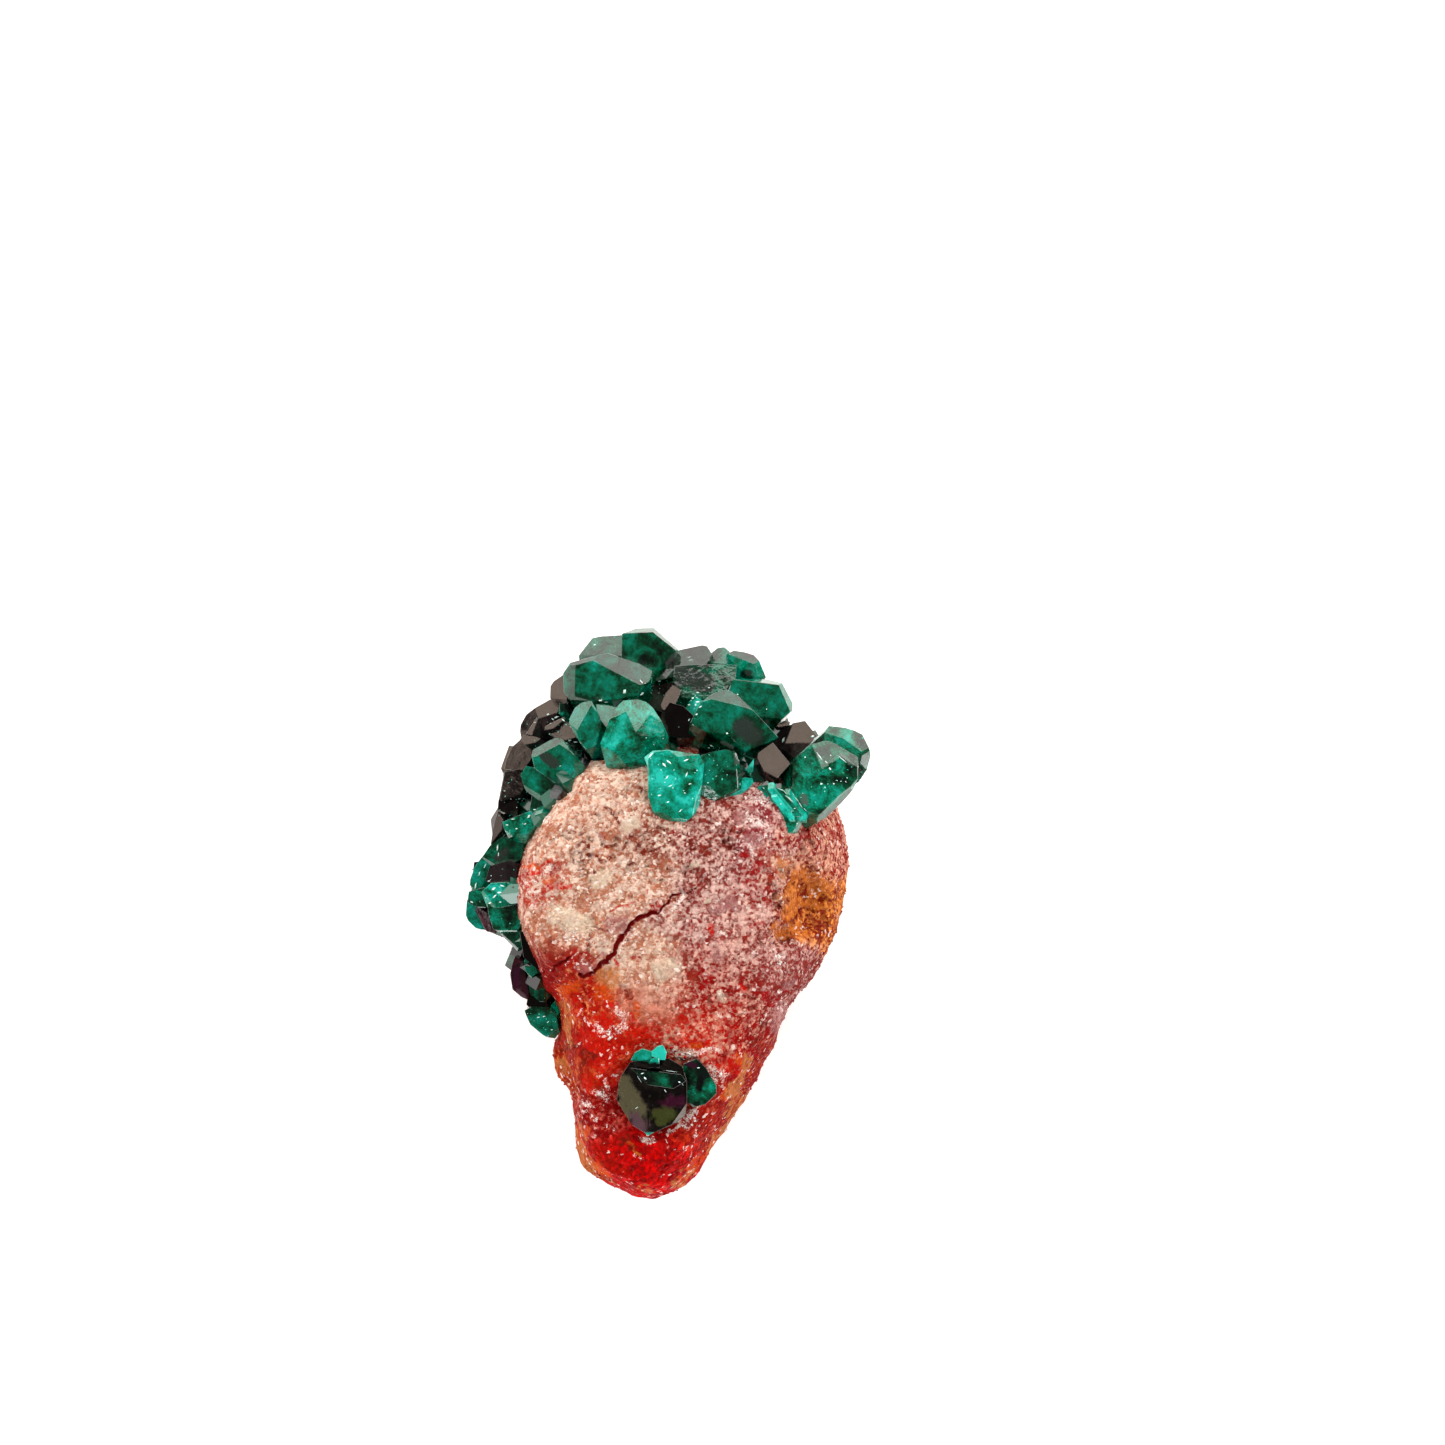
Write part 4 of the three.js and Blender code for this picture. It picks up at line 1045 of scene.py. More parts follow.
def crystal_object(name, spec, swell_by=0.0):
    """The crystal of a line of the lists, in place; swell_by grows it all round by that many mm."""
    if isinstance(spec[0], str):
        finish, tone, worn, depth, corners = spec
        middle = sum((Vector(c) for c in corners), Vector()) / len(corners) - Vector((0, 0, depth * 0.4))
        dice = random.Random(round(middle.x * 31 + middle.y * 57))
        out = [Vector(c) - middle for c in corners]
        root = Vector((-middle.x, ROOT_Y - middle.y, 0.0))
        leaning = min(1.0, max(0.0, (middle.y - UPRIGHT_Y) / (LEANING_Y - UPRIGHT_Y)))
        inward = root.normalized() * LEAN_IN * min(LEAN_MOST, root.length / LEAN_FULL) * leaning
        out = [c + c.normalized() * 1.6 * swell_by for c in out]
        block = hull_block(out, depth + 2 * swell_by, inward, worn, dice)
    else:
        x, y, z, azimuth, rise_angle, roll, width, length, worn, finish, tone = spec
        middle = Vector((x, y, z))
        dice = random.Random(round(x * 31 + y * 57 + z * 11))
        block = prism_block(azimuth, rise_angle, roll, width + 2 * swell_by, length + 3 * swell_by, worn,
                            dice)
    for vertex in block.verts:
        vertex.co = (vertex.co + middle - PLAN_CENTRE) * MM
    piece = new_object(name, set_down(block, bpy.data.meshes.new(name)))
    piece["finish"], piece["tone"] = FINISHES[finish], tone
    return piece


print("a crystal has one of the finishes", list(FINISHES))

# %% [markdown]
# ## Where the crystals stand
# A crowded crystal is one entry: finish, tone (0 deep, 1 bright), worn corners, depth and the
# corners of its upper faces. A free crystal is one line: the middle, the heading and rise of the
# long axis, the roll about it, width, length, worn corners, finish and tone. They crowd one
# another, and two clear bodies can't share a space, so they are grown in order, the highest
# first: each later crystal is cut back by those that were there first, with a hair's breadth of
# air between.

# %% The crown, the flank and the front pair
def crowded(table):
    """Reads "finish tone worn depth: x,y,z x,y,z ...; ..." as a list of crowded crystals."""
    read = []
    for entry in table.split(";"):
        look, corners = entry.split(":")
        finish, tone, worn, depth = look.split()
        read.append((finish, float(tone), int(worn), float(depth), numbers(corners)))
    return read


# the dusky entries of tone .15 and below are near-black fillers in the gaps between the crystals: painted
# shade
CROWN = crowded("""
    cloudy .66 5 9: -1.92,16.29,27.6 -1.24,17.07,27.8 .13,17.27,28.08 1.11,16.58,28.2 3.36,16.78,27.78
    3.84,15.7,27.73 3.45,13.16,27.5 3.35,11.2,27.28 2.37,10.22,27.06 1.39,9.53,26.9 .42,9.43,26.89
    -.56,9.82,26.99 -1.44,10.9,27 -1.93,12.57,27.18 -1.83,14.72,27.57 .52,13.16,27.78 1.7,14.73,28.15;
    clear .4 12 8: 3.45,16.68,27.29 4.62,17.07,27.39 5.99,17.31,27.5 7.17,17.07,27.6 7.66,15.7,27.33
    7.95,14.42,27.11 7.76,12.86,26.89 6.58,12.46,26.85 5.21,12.17,26.85 4.33,11.48,26.73 3.25,11.09,26.7
    2.86,14.13,26.93 5.41,14.92,27.47;
    cloudy .92 6 7: -2.33,16.48,26.77 -1.45,17.16,26.63 .32,17.26,26.69 .61,16.48,26.9 -.27,15.11,27.2
    -1.83,15.11,27.13;
    cloudy .55 9 8: -4.98,21.86,26.21 -4.49,22.3,26.26 -3.02,22.45,26.07 -2.14,22.16,26.11
    -1.45,21.57,26.3 -1.74,20.88,26.62 -4.19,21.18,26.71 -5.86,20.39,26.3 -6.85,17.94,26.09
    -6.65,16.28,26.17 -5.38,15.83,26.05 -3.81,15.69,26.02 -1.85,16.18,26.18 -.08,17.06,26.45
    .41,17.85,26.32 .21,19.02,26.31 -.47,20.1,26.4 -3.2,19.02,27;
    cloudy .85 4 6: 7.95,14.42,26.24 8.84,14.31,25.99 8.94,13.82,25.87 7.96,12.65,25.86 6.39,12.36,26.2
    6.58,13.54,26.4;
    clear .42 0 8: 2.37,20,25.87 3.45,22.16,26.12 4.62,22.5,26.21 4.72,23.04,25.96 6.19,23.48,25.64
    7.17,22.94,25.79 8.25,21.57,26.3 8.94,21.28,25.99 11.5,18.53,24.29 10.42,17.94,24.41
    8.06,17.05,24.82 6.29,18.82,25.95 4.03,19.12,25.87;
    cloudy .38 10 9: 12.96,16.08,25.47 13.75,16.96,25.59 14.92,17.84,25.81 16.29,18.19,25.66
    16.98,18.09,25.63 19.74,16.47,25 19.63,15.49,25.5 17.96,16.57,25.84 19.63,13.33,25.47
    18.95,12.25,25.58 18.06,11.27,25.73 16.89,10.29,25.53 15.32,9.4,25.31 14.73,9.3,25.27
    13.85,10.19,25.34 12.96,12.74,25.66 15.99,15.3,26.2;
    cloudy .85 0 6: 8.15,15.19,25.65 8.98,16.37,26 8.89,15.1,25.85 8.54,14.61,25.7;
    cloudy .46 8 7: 9.33,13.42,25.33 10.31,13.92,25.37 12.27,13.23,25.51 13.75,11.36,25.33
    14.34,9.6,25.32 13.46,8.31,24.9 11.1,8.21,24.74 10.81,9.79,25.17 11.1,10.97,25.52 10.51,12.35,25.44
    12.47,10.98,25.6;
    dusky .75 0 8.5: 10.91,18.03,24.53 12.77,15.78,25.13 11.39,14.31,25.6 9.92,15.09,25.42
    9.28,16.37,25.07 9.38,16.96,24.89;
    clear .52 2 8: -13.99,16.56,24.91 -13.86,17.25,24.53 -12.69,17.94,24.37 -11.61,18.48,24.28
    -10.82,18.43,24.48 -11.1,17.84,24.77 -12.08,17.35,24.86 -13.55,16.56,25 -9.93,17.05,24.47
    -8.86,15.97,24.15 -9.06,14.69,24.02 -9.75,13.61,23.99 -10.92,13.31,24.14 -12.48,14.5,24.55
    -13.65,15.29,24.85;
    clear .6 0 8: -7.83,22.36,24.14 -8.76,22.17,24.07 -9.55,21.57,24.1 -10.13,20.39,24.27
    -10.08,19.8,24.4 -9.34,19.26,24.6 -8.46,20.69,24.4 -7.87,21.87,24.24 -7.09,20.98,24.11
    -6.79,19.61,24.09 -7.38,17.64,24.25 -8.36,17.25,24.46 -9.04,18.04,24.57;
    dusky .04 0 4: -.4,18.72,23.83 -.69,20.79,24.04 .29,22.16,24.2 1.67,21.77,24.18 3.63,20,24.02
    3.93,18.62,23.88 1.47,18.43,23.82;
    clear .35 0 7: -7.4,21.97,23.28 -6.12,21.87,23.46 -4.83,21.58,23.69 -4.43,20.39,24 -6.21,19.41,23.99
    -7.2,20.59,23.61;
    clear .42 4 7: -15.18,14.68,23.38 -14.59,15.57,23.53 -13.3,15.28,23.73 -11.72,14.49,23.94
    -11.03,13.51,24 -11.33,12.32,23.88 -12.12,11.73,23.71 -13.5,12.12,23.5 -14.69,13.01,23.36;
    dusky .95 0 2: .57,24,22.21 1.46,23.45,22.36 1.07,22.37,22.73 .43,20.99,23.2 -.51,21.38,23.1
    -.71,21.87,22.95 -.22,23.06,22.54;
    clear .3 4 7: -13.93,13.09,22.5 -12.35,13.3,22.78 -10.86,13.1,23 -10.96,11.92,22.82
    -12.06,10.73,22.48 -13.35,10.13,22.18 -14.34,10.92,22.13;
    clear .46 0 8: -10.23,25.94,20.88 -6.96,27.12,21.2 -6.17,27.27,21.01 -2.9,26.18,21.17
    -1.57,25.44,21.4 -1.85,24.35,22.05 -2.79,23.95,22.4 -7.74,26.52,21.65 -3.08,22.86,22.24
    -5.07,22.47,21.8 -7.85,22.27,21.22 -10.14,22.38,20.67 -10.79,23.17,20.48 -10.88,25.15,20.61
    -9.53,26.03,21.24 -9.64,22.77,20.91 -10.15,26.29,20.34;
    dusky 1 0 1.8: -12.75,19.21,22.4 -12.66,19.7,22.19 -11.38,20.2,22.07 -10.7,20.69,21.9
    -10.59,20.4,22.04 -11.77,19.41,22.39;
    dusky .72 1 7: -12.39,18.91,21.35 -11.8,19.51,21.42 -10.7,20.2,21.59 -10.01,20,21.79
    -9.51,19.01,22.06 -9.4,18.22,22.2 -10.4,18.12,21.97 -11.69,18.52,21.59;
    clear .46 0 8: 6.79,24.55,21.6 9.75,24.1,21.44 11.53,23.96,21.34 12.77,21.14,21.12 11.93,20.4,21.12
    9.56,20.69,21.25 7.97,21.38,21.36 6.39,23.36,21.55 10.27,24.57,18.9 11.94,24.16,20.11
    13.04,22.08,19.47 13.03,21.29,20.32 10.56,19.7,19.95 11.35,19.7,20.05;
    cloudy .32 8 9: 16.28,19.01,21.23 16.78,19.7,20.86 18.46,19.51,20.92 19.46,19.21,20.79
    20.25,18.81,20.76 20.93,17.43,21.2 21.18,16.64,21.03 20.93,15.25,21.08 20.43,14.17,21.28
    19.65,13.08,21.02 17.28,13.07,20.63 16.09,16.04,20.82 18.25,18.42,21.48 20.13,17.04,21.6;
    dusky .85 1 7: -15.35,18.22,21.46 -14.97,18.81,21.28 -13.78,18.62,21.34 -12.69,18.22,21.46
    -13.77,17.93,21.54 -14.76,17.73,21.6;
    dusky .9 0 8: 13.02,20,20.83 14.31,20.25,20.74 15.49,18.72,21.29 14.89,17.93,21.58 13.9,17.33,21.48
    13.21,16.24,21.3 11.93,17.33,21.5 12.22,17.93,21.6;
    cloudy .6 6 7: 1.55,20.79,21.09 2.04,21.88,21.3 2.64,22.77,21.47 3.82,22.77,21.5 4.22,20.99,21.2
    3.62,19.6,20.94 2.43,19.41,20.87;
    dusky .95 0 2: -14.77,18.81,21.19 -13.6,20.59,20.72 -13.4,20.4,20.85 -14.07,18.72,21.4;
    cloudy .42 6 7: -17.16,9.71,20.92 -15.77,10.31,21.06 -14.18,10.9,21.2 -13.19,10.7,21.19
    -13.29,9.71,21.01 -14.39,8.72,20.81 -15.39,7.53,20.58 -16.77,7.92,20.61;
    clear .3 0 8: .55,24.36,20.59 .75,25.99,20.49 3.52,26.09,20.67 4.61,26.14,20.74 7.19,26.04,20.41
    7.09,24.56,20.52 5.7,22.97,20.81 4.51,22.37,21 1.44,22.57,20.78 4.61,24.35,20.86;
    clear .4 0 6: -11.23,22.18,20.5 -10.73,21.88,20.57 -10.54,21.29,20.6 -10.93,20.69,20.54
    -11.33,20.99,20.49;
    clear .3 0 8: 2.43,19.6,20.32 4.02,20,20.5 6.39,19.41,20.43 7.19,18.02,20.06 5.6,17.42,19.83
    3.02,17.82,19.84;
    dusky 1 0 1.2: 11.25,19.7,20.45 12.14,20.25,20.25 12.83,20.1,20.3 12.53,19.7,20.45 11.54,19.55,20.5;
    dusky .05 0 6: -15.4,-1.79,20.34 -14.4,-1.39,20.4 -13.03,-4.18,20.13 -13.43,-5.77,19.96
    -15.01,-4.38,20.08;
    cloudy .56 2 7: -18.38,3.35,20.1 -16.79,3.46,20.2 -15.7,3.06,20.2 -15.41,1.17,19.93 -17.4,.77,19.77
    -18.99,.76,19.68 -19.48,2.36,19.89;
    clear .4 2 7: -10.07,18.31,19.69 -9.27,18.61,19.87 -8.47,18.22,20 -8.28,17.03,19.95
    -8.87,16.23,19.77 -10.27,16.63,19.52;
    dusky .05 0 9: 8.87,16.03,19.83 12.84,16.43,20 13.24,14.65,19.7 12.55,13.06,19.4 10.36,13.65,19.45
    8.97,14.05,19.49;
    clear .58 1 6: -14.92,-4.59,19.75 -13.93,-4.59,19.8 -13.54,-5.98,19.63 -14.34,-6.68,19.5
    -14.83,-5.79,19.6;
    cloudy .36 3 8: -18.79,1.16,19.66 -17.2,1.56,19.76 -15.22,1.56,19.8 -15.03,-.43,19.49
    -15.74,-1.83,19.26 -17.43,-2.13,19.17 -18.22,-1.44,19.26 -18.7,.16,19.5;
    dusky .85 2 7: -18.5,5.13,19.7 -16.81,5.62,19.8 -15.42,5.33,19.79 -15.23,3.53,19.54
    -16.03,2.94,19.44 -17.81,3.13,19.43 -19,3.53,19.46;
    clear .34 2 8: -18.52,7.2,19.13 -17.32,8.09,19.33 -15.73,8,19.4 -14.84,7.3,19.34 -15.35,5.71,19.08
    -16.84,5.11,18.91 -18.44,4.9,18.79 -19.42,5.9,18.89;
    dusky .1 0 8: 11.95,19.6,19.35 13.14,19.9,19.4 13.54,18.02,19.21 12.35,16.82,19.07 10.76,17.82,19.15;
    dusky .8 1 7: -12.28,22.58,18.69 -12.25,23.88,18.22 -11.9,24.38,18.14 -10.9,25.07,18.19
    -10.5,24.37,18.58 -10.47,22.18,19.4 -11.47,21.99,19.16;
    clear .24 2 7: -17.53,-2.04,19.08 -16.23,-1.44,19.2 -14.85,-1.84,19.17 -14.46,-3.23,18.96
    -15.75,-3.94,18.82 -16.34,-3.04,18.95;
    clear .28 3 8: -14.56,-6.51,18.95 -13.55,-5.8,19.2 -12.66,-6.6,19.19 -12.37,-8.8,18.88
    -13.08,-9.3,18.7 -14.37,-8.21,18.7;
    clear .3 0 8: -4.77,29.33,19.12 -1.55,29.48,19.2 .84,27.59,19.09 -.26,26.55,18.98 -1.55,24.97,18.81
    -4.83,26.75,18.9 -3.94,29.54,18.47 -3.27,29.91,17.17 -1.47,29.96,17.35 1.08,27.71,18.04
    -4.82,28.34,19.04;
    plum .42 0 8: -15.96,-4.35,18.51 -15.37,-4.74,18.54 -14.97,-5.24,18.55 -14.77,-7.22,18.6
    -15.26,-6.83,18.59 -14.47,-8.02,18.51 -14.58,-8.93,18.34 -15.28,-8.63,18.3 -16.22,-7.83,18.3
    -16.46,-6.23,18.53 -16.21,-5.04,18.52;
    dusky .1 0 7: -7.12,22.58,18.37 -5.93,23.38,18.47 -3.94,23.38,18.5 -2.55,22.98,18.48
    -1.95,21.99,18.38 -4.74,20.99,18.24 -6.53,21.19,18.23;
    clear .2 0 8: -1.27,24.38,17.58 -1.57,25.08,17.43 -1.27,25.97,17.4 -.78,26.87,17.12 1.22,27.67,17.12
    3.61,28.17,17.32 4.11,28.06,17.44 4.61,27.26,17.85 3.81,25.57,18.4 .63,25.57,17.87 -.27,24.58,17.78;
    clear .46 4 8: -14.99,-10.03,18.09 -14.29,-9.63,18.17 -12.89,-9.63,18.2 -11.7,-10.23,18.13
    -11.31,-12.44,17.8 -11.92,-13.24,17.66 -13.11,-12.64,17.73 -14.4,-11.54,17.87;
    dusky .6 2 8: -17.04,14.93,17.73 -15.49,15.23,17.94 -14.78,13.64,18.18 -15.48,12.24,18.2
    -16.88,11.65,18.04 -17.58,11.94,17.91 -17.38,13.04,17.84;
    dusky .05 0 7: -14.59,-8.25,18 -12.9,-8.45,18 -12.41,-9.85,17.86 -13.9,-10.25,17.8
    -14.79,-9.45,17.87;
    clear .25 0 8: -7.05,29.06,17.22 -4.56,29.21,17.15 -4.35,26.97,17.77 -6.84,26.97,17.8
    -7.95,28.87,16.89 -9.35,27.08,16.73 -9.16,25.58,16.66 -4.55,25.57,17.57 -6.94,25.77,17.63;
    clear .52 3 7: -19.38,6.07,17.59 -18.29,5.47,17.6 -18.7,4.07,17.35 -19.31,2.26,17.02
    -20.81,2.06,16.86 -20.7,3.66,17.11 -20.19,5.06,17.37;
    dusky .4 4 8: -17.7,12.03,17.41 -16.4,12.44,17.57 -15.1,11.64,17.6 -15.31,10.44,17.45
    -16.71,9.84,17.26 -17.8,10.94,17.28;
    dusky .65 2 8: -15.54,18.6,16.61 -15.45,19.8,16.37 -14.85,20.9,16.41 -13.94,21.6,16.69
    -12.34,22.49,16.86 -11.53,22.39,17.11 -11.12,21.19,17.6 -12.53,19.4,17.1 -14.34,18.31,16.68
    -13.52,20.4,17.18;
    clear .34 2 7: -20.84,2.37,17.23 -19.09,2.87,17.4 -18.51,1.07,17.16 -19.31,.47,17.03
    -20.11,.77,17.03 -21,1.27,17.06;
    clear .55 6 8: 6.2,27.27,17.12 6.9,27.58,16.76 7.99,27.43,16.66 8.99,27.13,16.69 9.59,26.48,17.06
    9.99,25.48,16.94 10.28,24.78,16.85 9.68,24.18,17.21 7,24.39,16.81 6.4,26.18,16.99 7.19,26.87,17.22
    8.99,26.17,17.4;
    dusky .62 1 8: -17.14,15.11,16.57 -16.94,16.21,16.54 -16.34,17.51,16.62 -15.53,18.21,16.81
    -14.32,17.81,17.22 -14.11,16.42,17.4 -15.12,15.02,17.2;
    dusky 1 0 5: -17.82,10.83,17 -17.2,9.84,17.4 -17.3,8.85,17.39 -18.57,7.24,16.75 -18.32,9.04,16.81;
    plum .5 0 4: -20.06,.87,16.97 -18.8,.08,17.19 -18.01,-2.01,17.2 -19.01,-1.82,16.98 -20.21,.37,16.89;
    dusky .1 0 7: -3.37,24.19,16.87 -1.77,24.78,16.95 .02,24.98,17 1.02,24.19,16.93 1.41,22.39,16.75
    -.38,21,16.58 -2.38,21.6,16.61;
    dusky .15 0 6: -10.86,23.39,16.46 -7.96,23.39,16.5 -7.37,21.6,16.32 -8.97,20.6,16.19
    -10.96,21.4,16.25;
    clear .4 1 7: 3.8,26.29,16.12 4.1,26.99,16.02 4.8,27.34,16.03 5.2,27.89,15.97 5.9,27.99,16.03
    6.5,27.48,16.18 6.3,26.18,16.4 5,25.99,16.3;
    clear .6 1 7: -21.09,1.45,16.35 -20.14,1.65,16.4 -19.74,.24,16.21 -18.96,-1.86,15.94
    -20.16,-1.51,15.96 -20.95,-.76,16.05 -21.2,-.16,16.13;
    dusky .15 0 6: -5.98,28.39,15.97 -3.98,28.39,16 -3.79,25.99,15.75 -6.18,25.99,15.72;
    dusky .7 1 8: -17.89,11.4,15.28 -17.39,13.2,15.16 -17.2,15,14.98 -15.39,15.2,15.34
    -14.57,13.01,15.79 -15.57,11.21,15.8 -16.98,10.61,15.57;
    dusky .1 0 7: -20.42,5.39,14.54 -16.02,5.99,14.6 -15.43,-.03,14.29 -17.03,-2.03,14.18
    -19.64,-1.43,14.19 -20.83,.98,14.31""")
FIBRES = [
    (10.9, 12.6, 25.2, -52, -6, 0, 0.9, 3.6, 0, "clear", 0.35),
    (11.7, 12.2, 25.5, -50, -8, 10, 1.0, 4.2, 0, "cloudy", 0.75),
    (12.5, 11.9, 25.4, -54, -8, 0, 0.9, 4.6, 0, "clear", 0.45),
    (13.2, 11.5, 25.2, -56, -10, 20, 1.0, 4.4, 0, "cloudy", 0.70),
    (12.0, 11.3, 25.6, -52, -10, 15, 0.8, 4.0, 0, "cloudy", 0.85),
    (13.7, 12.3, 24.8, -60, -8, 0, 1.2, 3.6, 0, "clear", 0.40),
]
FLANK = [
    (-15.2, 14.8, 12.0, 120, 5, -20, 4.4, 6.4, 1, "dusky", 0.5),
    (-16.0, 10.0, 12.0, 95, 0, 0, 4.6, 7.0, 1, "dusky", 0.5),
    (-17.6, 4.0, 11.5, 170, 0, 10, 5.6, 6.4, 1, "clear", 0.35),
    (-16.6, -0.6, 12.0, 200, 0, 0, 5.0, 6.6, 1, "clear", 0.25),
    (-14.3, -5.2, 10.0, 190, 0, 0, 4.4, 6.2, 0, "clear", 0.2),
    (-12.4, -9.4, 8.0, 200, 0, 40, 4.0, 5.6, 0, "clear", 0.2),
]
FRONT_PAIR = crowded("""
    cloudy .62 2 1.6: -2.02,-15.17,27.89 -1.53,-14.38,28.08 -.75,-14.38,28.1 -.75,-15.46,27.87
    -1.63,-15.37,27.86;
    cloudy .97 2 2.5: -1.58,-13.72,27.7 -.85,-13.12,27.87 -.36,-13.07,27.9 .03,-13.81,27.73
    -.17,-14.61,27.52 -.85,-14.61,27.5 -1.53,-14.21,27.57;
    clear .1 1 1.6: -3.78,-15.38,27.69 -2.02,-15.57,27.7 1.5,-16.06,27.7 1.99,-16.75,27.61
    .71,-17.54,27.48 -2.02,-17.15,27.48;
    cloudy .56 0 2.5: -3.74,-14.67,27.25 -3.29,-13.83,27.47 -2.51,-13.43,27.6 -1.44,-13.72,27.56
    -1.54,-14.57,27.35 -3.2,-14.82,27.23;
    dusky .05 0 6: -4.69,-16.26,26.19 -4,-16.45,26.26 -1.85,-19.51,25.9 -2.05,-21.21,25.49
    -2.45,-22.17,25.21 -3.63,-21.43,25.19 -5.19,-18.85,25.52 -4.99,-17.16,25.94 -3.8,-14.86,26.64
    .22,-14.42,27.36 1.59,-15.2,27.4 2.08,-16.79,27.12 2.08,-18.97,26.63 1.1,-19.68,26.32
    .4,-21.38,25.82 -.68,-21.9,25.54 -1.27,-22.2,25.38 1.88,-20.41,25.75 .99,-21.22,25.35;
    cloudy .42 0 1.2: -2.71,-13.75,27.19 -2.03,-13.75,27.2 -1.34,-14.44,27.15 -1.54,-15.03,27.09
    -2.62,-14.73,27.11;
    cloudy .14 1 6: 1.68,-15.08,26.2 3.05,-14.5,26.19 4.03,-15.48,26.07 5.11,-17.36,25.88
    5.11,-18.16,25.71 4.03,-19.25,25.5 2.66,-19.65,25.44 1.48,-18.26,25.56 3.05,-17.06,25.99;
    cloudy .8 0 2: -2.55,-22.07,25.16 -1.96,-21.92,25.2 -1.27,-22.17,25.17 -1.96,-22.52,25.1""")
print(len(CROWN), "crowded crystals in the crown,", len(FRONT_PAIR), "in the front pair")

# %% [markdown]
# The sides that face away from the broken front carry a crust of the same crystals, too many to
# place by hand. They follow the rock, so the rock is asked where it is: rows at two heights, with
# even headings and a dice throw each for size and turn.

# %% Crystals round the sides
ROCK_CORE = Vector((0.5, -3.0, 0.0))
# height, the headings from and to, how many, and width
SIDE_ROWS = [(16.0, 60, 140, 7, 4.6), (11.0, 54, 172, 11, 5.4), (5.6, 50, 166, 10, 5.0)]


def side_crystals(rock, seed):
    dice = random.Random(seed)
    rows = []
    for level, first, last, count, width in SIDE_ROWS:
        for i in range(count):
            azimuth = first + (last - first) * (i + 0.6 * (dice.random() - 0.5)) / (count - 1)
            out = heading(azimuth, 90)
            here = level + 1.6 * (dice.random() - 0.5)
            far = (ROCK_CORE - PLAN_CENTRE + Vector((0, 0, here)) + out * 60) * MM
            hit, spot, facing, _ = rock.ray_cast(far, -out)
            if not hit:
                continue
            size = width * dice.uniform(0.75, 1.15)
            middle = spot / MM + PLAN_CENTRE - facing * 0.02 * size
            turn = math.degrees(math.atan2(facing.y, facing.x)) + dice.uniform(-30, 30)
            rows.append((*middle, turn, dice.uniform(-20, 20), dice.uniform(0, 120),
                         size, size * 1.45, 1, "clear", dice.uniform(0.15, 0.4)))
    return rows


bpy.context.view_layer.update()
SIDES = side_crystals(matrix_rock, seed=4)
print(len(CROWN), "crown,", len(FLANK), "flank,", len(SIDES), "side crystals")

# %% Grow them together
AIR = 0.015  # mm between crystals that meet
EDGE_WEAR = 0.05  # mm bevelled off the edges
TONE_STEP, TONE_ROUNDS = 0.7, 4  # edges longer than this many mm are halved, so many times over
# x, y, reach and change of tone: no crystal is one green all over
TONE_SPOTS = numbers("""
    -4.2,28.6,1,.22 -3.5,27.7,.8,.12 -1.4,27.2,1.5,-.12 -8.6,24.6,1.6,.16 -9,26.3,.9,-.2
    -3.8,23.6,1.3,-.22 -10,23,.9,-.15 -4.4,18.8,2,.06 -6.6,16.4,.8,.28 -1,17.6,.9,-.3 -7,19.6,.5,-.35
    -11,16.6,1,.12 -10.4,15.4,.9,.1 -12,12.8,1.2,-.3 -14,13.8,1,.08 -.8,12.5,1.2,.15 1.8,13,.7,-.3
    2.6,15,.7,-.25 .4,16.4,.5,-.2 -1.4,14,.5,-.15 -.2,13.6,.4,.2 -1.5,16.2,.5,.2 1,10.6,.9,-.08
    5.5,15,1.6,-.2 4.2,11.6,1,.2 3.4,16.3,.8,.25 8.3,13.4,.8,.3 15.9,16,.6,.25 16.4,15.1,.6,.18
    15.4,17.2,.8,-.25 13.3,15,.8,-.15 15.6,10.2,1.3,-.28 18.7,17.9,.6,.1 19.6,15,1,-.2 2.8,22,.9,.15
    2.5,20.4,.8,.25 4.5,21,1.5,.12 4.5,18.6,1,-.3 8.6,18.8,1.8,-.2 11.6,20.4,.8,-.25 6.6,25,1.2,.15
    -17.8,2.2,1,.3 -18,6.2,.5,.4 -14.6,10,.7,.35 -16.6,8.4,.7,.2 -17,-.6,.9,-.2 -13.4,-10.8,.6,.25
    -.6,-17.7,.8,.5 -2.6,-17.2,.6,.25 2.7,-19.4,.7,.35 4.4,-18.3,.6,.3 2.6,-16.8,.5,.2 -3,-15.1,.5,.1
    -20.6,3.6,.6,.25 -14,-9.6,.7,-.2""")
